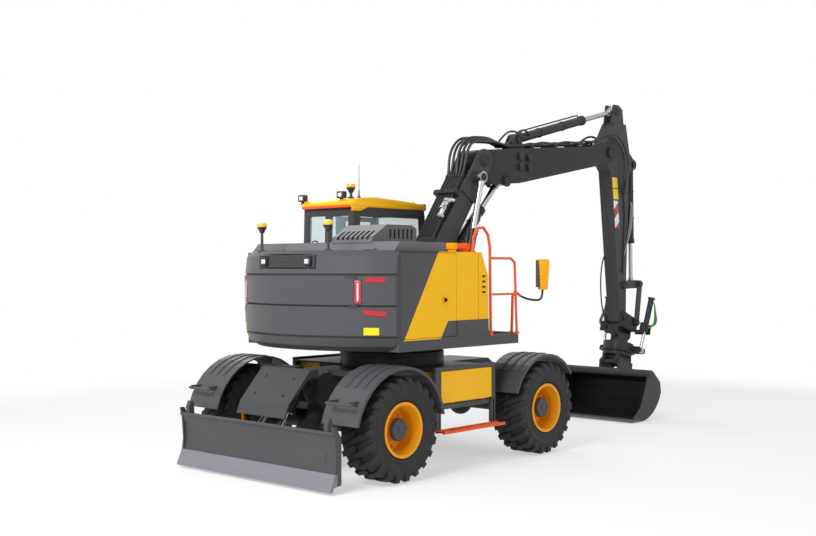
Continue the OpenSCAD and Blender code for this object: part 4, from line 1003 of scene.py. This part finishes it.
def dress_cab():
    """Seals, seat, monitor, roof skin, lamps, beacon and aerial of the cab."""
    cushion = pad("seat_cushion", at(0.06, 0.60, 1.845), at(0.60, 1.04, 1.965), 0.62, 0.018)
    back = pad("seat_back", at(0.0, 0.61, 1.93), at(0.12, 1.03, 2.54), 0.62, 0.016)
    back.data.transform(about(at(0.06, 0.82, 1.93), LEFT, -5))
    for piece in (cushion, back):
        fix(piece, "house", "seat_cloth", 60)
    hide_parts("seat")
    # Knobs on the two joysticks, and the monitor on the right front pillar
    for word, y in (("right", 0.54), ("left", 1.10)):
        knob = turned(f"joystick_{word}", at(0.60, y, 2.15), UP, [
            (0.016, 0.0), (0.024, 0.02), (0.03, 0.06), (0.032, 0.085), (0.024, 0.105), (0.01, 0.112)], 20)
        fix(knob, "house", "trim_plastic")
    monitor = block("monitor", at(0.86, 0.43, 2.24), at(0.89, 0.63, 2.40), 0.01)
    recess(monitor, (-1, 0, 0), 0.012, 0.006)
    stalk = pipe("monitor_stalk", [
        at(0.88, 0.53, 2.26), at(0.90, 0.53, 2.2), at(0.96, 0.45, 2.12), at(1.0, 0.405, 2.1)], 0.012)
    fix(joined("monitor", [monitor, stalk]), "house", "trim_plastic")
    # Seals round the rear and right windows
    for word, low, high in (("left", 0.83, 1.18), ("right", 0.42, 0.77)):
        window_seal(f"rear_seal_{word}", [
            at(-0.322, low, 2.33), at(-0.322, high, 2.33), at(-0.304, high, 2.99), at(-0.304, low, 2.99)])
    window_seal("right_seal", [
        at(-0.23, 0.36, 2.25), at(0.96, 0.36, 2.25), at(0.93, 0.36, 2.98), at(-0.23, 0.36, 2.98)])
    trim = slice_of("roof_edge_trim", [
        at(-0.372, 0.36, 3.058), at(-0.352, 0.36, 3.05), at(-0.352, 0.36, 3.082),
        at(-0.372, 0.36, 3.09)], (0, 0.87, 0), 0.003)
    fix(trim, "house", "orange_paint")
    # Crowned roof with a deeper rear corner, and its fittings
    roof = 3.192
    crown = slice_of("roof_shell", [at(x, 0.342, z) for x, z in (
        (-0.362, 3.062), (1.04, 3.062), (1.05, 3.10), (0.98, 3.14), (0.5, 3.178), (0.06, 3.196),
        (-0.12, 3.19), (-0.29, 3.165), (-0.362, 3.12))], (0, 0.906, 0), 0.014)
    corner = slice_of("roof_corner", [at(x, 0.338, z) for x, z in (
        (-0.36, 3.07), (-0.36, 3.012), (-0.21, 3.012), (-0.06, 3.07))], (0, 0.011, 0), 0.003)
    shell = fix(joined("roof_shell", [crown, corner]), "house", "roof_yellow")
    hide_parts("cab_roof")
    receiver_post("receiver_roof", -0.2, 0.514, roof - 0.012, 3.37)
    whip = turned("whip_aerial", at(-0.2, 0.374, roof - 0.012), UP, [
        (0.022, 0.0), (0.022, 0.015), (0.01, 0.02), (0.008, 0.09), (0.004, 0.1), (0.003, 0.39),
        (0.0045, 0.395), (0.0045, 0.404)], 12)
    fix(whip, "house", "lamp_black")
    work_lamp("roof_lamp_rear_left", at(-0.30, 1.29, roof + 0.01), -1)
    work_lamp("roof_lamp_rear_right", at(-0.28, 0.60, roof + 0.03), -1)
    holder = block("roof_lamp_arm", at(-0.31, 1.20, roof - 0.085), at(-0.28, 1.30, roof - 0.065), 0.005)
    fix(holder, "house", "lamp_black")
    work_lamp("roof_lamp_front_left", at(1.09, 1.12, 3.11), 1)
    work_lamp("roof_lamp_front_right", at(1.09, 0.48, 3.11), 1)
    eye = turned("roof_eye", at(0.86, 0.42, roof - 0.042), UP, [
        (0.03, 0.0), (0.03, 0.012), (0.014, 0.016), (0.012, 0.03)], 20)
    fix(eye, "house", "roof_yellow")


# Right flank, rails, mirrors and hood


def mirror_head(name, middle, size, turn):
    """A mirror: tapered shell with a dark rim and the glass let into it, turned from straight back."""
    half = Vector(size) / 2
    shell = block(name, middle - half, middle + half, 0)
    shape(shell)
    pick_faces(shell, lambda centre, normal: normal.z < -0.95)
    bpy.ops.transform.resize(value=(0.7, 0.72, 1), center_override=middle)
    pick_faces(shell, lambda centre, normal: normal.x > 0.9)
    bpy.ops.mesh.inset(thickness=0.02, depth=0.012)
    shaped()
    modify(shell, "BEVEL", width=0.018, segments=3, limit_method="ANGLE")
    rim = block(name + "_rim", middle + Vector((-half.x - 0.004, -half.y * 0.9, -half.z * 0.84)),
                middle + Vector((-half.x + 0.008, half.y * 0.9, half.z * 0.92)), 0.004)
    recess(rim, (-1, 0, 0), 0.012, 0.004)
    for part in (shell, rim):
        part.data.transform(about(middle, UP, turn))
    fix(rim, "house", "trim_plastic")
    return shell


def dress_flank():
    """Mirrors, flanges under the rails, the mat on the front step and the latch of the right door."""
    right = mirror_head("mirror_right", at(1.355, -1.30, 2.225), (0.13, 0.18, 0.38), -42)
    arm = pipe("mirror_right_arm", [
        at(1.10, -1.14, 1.965), at(1.16, -1.16, 1.93), at(1.27, -1.24, 1.90), at(1.345, -1.29, 1.91),
        at(1.355, -1.30, 1.97), at(1.355, -1.30, 2.06)], 0.014)
    fix(right, "house", "mirror_yellow")
    fix(arm, "house", "trim_plastic")
    left = mirror_head("mirror_left", at(1.25, 1.37, 2.55), (0.09, 0.16, 0.34), 12)
    fix(left, "house", "mirror_yellow")
    arm = pipe("mirror_left_arm", [
        at(1.066, 1.25, 2.30), at(1.066, 1.30, 2.30), at(1.08, 1.345, 2.30), at(1.16, 1.348, 2.30),
        at(1.235, 1.348, 2.30), at(1.244, 1.348, 2.33), at(1.244, 1.35, 2.40)], 0.013)
    fix(arm, "house", "trim_plastic")
    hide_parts("mirrors")
    # Flanges under the rails
    feet = ((0.397, -1.232, 1.51), (0.912, -1.232, 1.51), (0.93, -1.14, 1.51), (0.055, -1.232, 2.49))
    for i, (x, y, z) in enumerate(feet):
        flange = turned(f"rail_flange_{i}", at(x, y, z), UP, [
            (0.036, 0.0), (0.036, 0.008), (0.026, 0.012), (0.021, 0.03), (0.018, 0.034)], 24)
        fix(flange, "house", "orange_paint")
    # Non-slip mat on the front step
    mat = block("step_mat", at(0.45, -1.18, 1.514), at(0.86, -0.56, 1.524), 0.003)
    ridges = [block(f"mat_ridge_{i}", at(0.475 + 0.06 * i, -1.16, 1.523),
                    at(0.495 + 0.06 * i, -0.58, 1.529), 0.002) for i in range(7)]
    fix(joined("step_mat", [mat] + ridges), "house", "trim_plastic")
    # Latch of the right door
    plate = block("door_latch", at(-0.51, -1.264, 1.90), at(-0.42, -1.257, 1.99), 0.004)
    recess(plate, -LEFT, 0.012, 0.004)
    fix(plate, "right_door", "yellow_paint")
    grip = block("door_latch_grip", at(-0.505, -1.267, 1.91), at(-0.488, -1.259, 1.98), 0.003)
    fix(grip, "right_door", "red_film")


def dress_chassis():
    """Folded lips along the shelves of the tool boxes, and the panels beside the boxes down to the steps."""
    rear, front, shelf = -0.565, 0.53, 1.134
    # Name, inner lower corner, outer upper corner, and the rim and depth of the pressed face
    plates = (("shelf_lip_upper", (rear, 1.155, shelf), (front, 1.2, 1.18), 0.01, 0.003),
              ("shelf_lip_lower", (-0.468, 1.144, 0.69), (0.458, 1.164, 0.746), 0.01, 0.003),
              ("box_panel_rear", (rear, 1.147, 0.47), (-0.472, 1.199, shelf), 0.014, 0.004),
              ("box_panel_front", (0.462, 1.147, 0.47), (front, 1.199, shelf), 0.014, 0.004))
    for word, side in SIDES:
        for name, low, high, rim, depth in plates:
            corners = [at(x, side * y, z) for x, y, z in (low, high)]
            plate = block(f"{name}_{word}", *corners, 0.006)
            recess(plate, LEFT * side, rim, depth)
            fix(plate, "chassis", "grey_paint")


def dress_hood():
    """The ribbed core behind the louvres, and two grips on the engine hood."""
    core = block("hood_core", at(-0.90, -0.735, 2.603), at(-0.425, -0.145, 2.745), 0.004)
    ribs = [block(f"hood_core_rib_{i}", at(-0.9, -0.738, 2.63 + 0.028 * i),
                  at(-0.425, -0.73, 2.638 + 0.028 * i), 0.002) for i in range(4)]
    fix(joined("hood_core", [core] + ribs), "engine_hood", "lamp_black")
    for i, y in enumerate((-0.9, 0.9)):
        grip = pipe(f"hood_grip_{i}", [
            at(-0.5, y, 2.59), at(-0.5, y, 2.63), at(-0.48, y, 2.645), at(-0.42, y, 2.645),
            at(-0.40, y, 2.63), at(-0.40, y, 2.58)], 0.008)
        fix(grip, "engine_hood", "trim_plastic")


# Boom, arm and tool


def dress_boom():
    """Valve, clamps, blank plates and marker films on boom and arm."""
    along = (pin("boom_adjust") - pin("boom_lift")).normalized()
    out = Vector((-along.z, 0, along.x))
    foot = pin("boom_lift")

    def on_boom(reach, side, y):
        """A place measured along the base boom from its foot, out from its middle line, and across."""
        return foot + along * reach + out * side + Vector((0, y, 0))

    body = pipe("swivel_valve", [
        on_boom(1.18, 0.245, -0.13), on_boom(1.25, 0.26, -0.13), on_boom(1.36, 0.285, -0.14),
        on_boom(1.46, 0.27, -0.16), on_boom(1.48, 0.2, -0.18)], 0.03, 4)
    nuts = [turned(f"valve_nut_{i}", on_boom(reach, side, y), along, [
        (0.034, -0.022), (0.042, -0.02), (0.042, 0.02), (0.034, 0.022)], 6)
        for i, (reach, side, y) in enumerate(((1.2, 0.25, -0.13), (1.31, 0.277, -0.135), (1.42, 0.28, -0.15)))]
    branch = turned("valve_branch", on_boom(1.33, 0.285, -0.14), out * 0.7 - LEFT * 0.7, [
        (0.022, 0.0), (0.022, 0.05), (0.03, 0.052), (0.03, 0.075), (0.018, 0.08)], 16)
    fix(joined("swivel_valve", [body, branch] + nuts), "base_boom", "steel")
    for along_boom in (0.80, 1.58):
        middle = along_boom + 0.03
        heads = [on_boom(middle, 0.25, y) for y in (-0.165, -0.048, 0.048, 0.165)]
        row = bolts(f"clamp_bolts_{round(along_boom * 100)}", heads, out, 0.012)
        fix(row, "base_boom", "dark_iron")
    # Blank plates and the marker film on both faces of the arm
    for word, side in SIDES:
        face = side * 0.112
        skin = Vector((0, side * 0.003, 0))
        for i, (low, high) in enumerate(((3.55, 3.71), (3.375, 3.535))):
            slope = (3.8 - low) * 0.118
            plate = slice_of(f"arm_plate_{word}_{i}", [
                at(4.875 + slope, face, low), at(5.02 + slope, face, low), at(5.0 + slope, face, high),
                at(4.855 + slope, face, high)], skin, 0.001)
            fix(plate, "arm", "blank_plate")
        film = slice_of(f"arm_marker_{word}", [
            at(4.975, face, 2.93), at(5.10, face, 2.93), at(5.05, face, 3.35),
            at(4.925, face, 3.35)], skin, 0.001)
        fix(film, "arm", "stripes")


def dress_tool():
    """Hoses, cylinder heads and bolted flange of the tilting tool head."""
    # Sleeved hoses beside the tilt cylinders
    for word, side in SIDES:
        barrel = pin(f"tilt_barrel_{word}_turn")
        slide = upward(f"tilt_rod_{word}_slide")
        for i, bow in enumerate((0.06, 0.09, 0.12)):
            places = ((0.38, 0.02, 0.046), (0.35, 0.04, 0.06), (0.2, 0.05, 0.06 + bow * 0.35),
                      (0.07, 0.045, 0.075 + bow * 0.8), (0.0, 0.02, 0.078 + bow * 0.5), (-0.03, 0.0, 0.05))
            points = [barrel + slide * rise + Vector((ahead, side * off, 0)) for rise, ahead, off in places]
            tube = pipe(f"tilt_hose_{word}_{i}", points, 0.009)
            fix(tube, f"tilt_barrel_{word}", "green_sleeve")
        top = (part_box(f"tilt_barrel_{word}")[1][2] - barrel.z) / slide.z - 0.02
        head = turned(f"tilt_head_{word}", barrel + slide * top, slide, [
            (0.045, 0.0), (0.058, 0.003), (0.058, 0.02), (0.05, 0.026), (0.02, 0.026)], 24)
        fix(head, f"tilt_barrel_{word}", "black_paint")
    # Bolts round the rotor housing
    rotor = pin("tool_rotate")
    up = upward("tool_rotate")
    forward = Vector((up.z, 0, -up.x))
    ring = [rotor + up * 0.06 + (forward * math.cos(a) + LEFT * math.sin(a)) * 0.25
            for a in [i * math.tau / 16 for i in range(16)]]
    flange = turned("rotor_flange", rotor + up * 0.036, up, [
        (0.236, 0.0), (0.268, 0.004), (0.268, 0.02), (0.262, 0.024), (0.236, 0.024)], 48)
    studs = bolts("rotor_bolts", ring, up, 0.008)
    fix(joined("rotor_flange", [flange, studs]), "tilt_head", "dark_iron")


paint_nodes()
fit_wheels()
fit_boom_hoses()
fit_pin_caps()
fit_cylinder_pipes()
dress_tail()
dress_cab()
dress_flank()
dress_chassis()
dress_hood()
dress_boom()
dress_tool()


# Stage: pale floor, soft lamps and the camera


def lay_floor():
    """A pale floor that fades to the background's white away from the machine."""
    floor_size, fade_start, fade_end, least_glow = 240, 5.0, 11.0, 0.5
    bpy.ops.object.select_all(action="DESELECT")
    bpy.ops.mesh.primitive_plane_add(size=floor_size, location=(0, 0, 0))
    floor = named("floor")
    paint = Paint("floor_paper")
    reach = paint.node("ShaderNodeVectorMath", {"operation": "LENGTH"}, {0: paint.place})
    far = paint.node("ShaderNodeMapRange", {"interpolation_type": "SMOOTHSTEP"}, {
        "Value": Tone(paint, reach.outputs["Value"]), "From Min": fade_start, "From Max": fade_end})
    glow = paint.node("ShaderNodeEmission", {}, {"Color": (1, 1, 1, 1), "Strength": 1.0})
    grain = paint.noise(30.0, 2.0)
    paint.finish(paint.mix(grain, (0.95, 0.95, 0.955, 1), (0.98, 0.98, 0.985, 1)), 0.7 + 0.1 * grain)
    blend = paint.node("ShaderNodeMixShader", {}, {
        0: Tone(paint, far.outputs[0]).either(least_glow) * paint.seen_directly(),
        1: Tone(paint, paint.shader.outputs[0]), 2: Tone(paint, glow.outputs[0])})
    paint.feed(paint.tree.nodes["Material Output"].inputs["Surface"], Tone(paint, blend.outputs[0]))
    floor.data.materials.append(paint.material)


def light_sky():
    """White for what the camera, metal and glass see, and a softer grey dome as light."""
    world = bpy.data.worlds.new("studio")
    bpy.context.scene.world = world
    world.use_nodes = True
    sky = Graph(world.node_tree)
    dome = sky.node("ShaderNodeBackground", {}, {"Color": (0.95, 0.97, 1.0, 1.0), "Strength": 0.5})
    white = sky.node("ShaderNodeBackground", {}, {"Color": (1, 1, 1, 1), "Strength": 1.0})
    blend = sky.node("ShaderNodeMixShader", {}, {
        0: sky.seen_directly(), 1: Tone(sky, dome.outputs[0]), 2: Tone(sky, white.outputs[0])})
    sky.feed(sky.tree.nodes["World Output"].inputs["Surface"], Tone(sky, blend.outputs[0]))


def soft_lamp(name, place, target, size, power):
    """A round lamp that points at its target."""
    lamp = bpy.data.lights.new(name, "AREA")
    lamp.shape = "DISK"
    lamp.size = size
    lamp.energy = power
    holder = bpy.data.objects.new(name, lamp)
    bpy.context.scene.collection.objects.link(holder)
    holder.location = place
    holder.rotation_euler = (Vector(target) - Vector(place)).to_track_quat("-Z", "Y").to_euler()


def set_camera():
    """The photograph's view: level, from behind and to the right of the machine."""
    camera = bpy.data.cameras.new("camera")
    place, heading = at(-10.2508, -9.5135, 2.3056), 42.0544
    camera.lens = 50
    camera.sensor_width = 36
    holder = bpy.data.objects.new("camera", camera)
    bpy.context.scene.collection.objects.link(holder)
    holder.location = place
    holder.rotation_euler = (math.pi / 2, 0, math.radians(heading - 90))
    bpy.context.scene.camera = holder


lay_floor()
light_sky()
soft_lamp("key", (-11, -1.5, 8), (0, 0, 1), 6, 1050)
soft_lamp("fill", (2, -12, 6), (0, 0, 1.5), 8, 210)
soft_lamp("rim", (4, 9, 9), (0, 0, 1.5), 7, 350)
set_camera()
bpy.context.scene.view_settings.view_transform = "Standard"
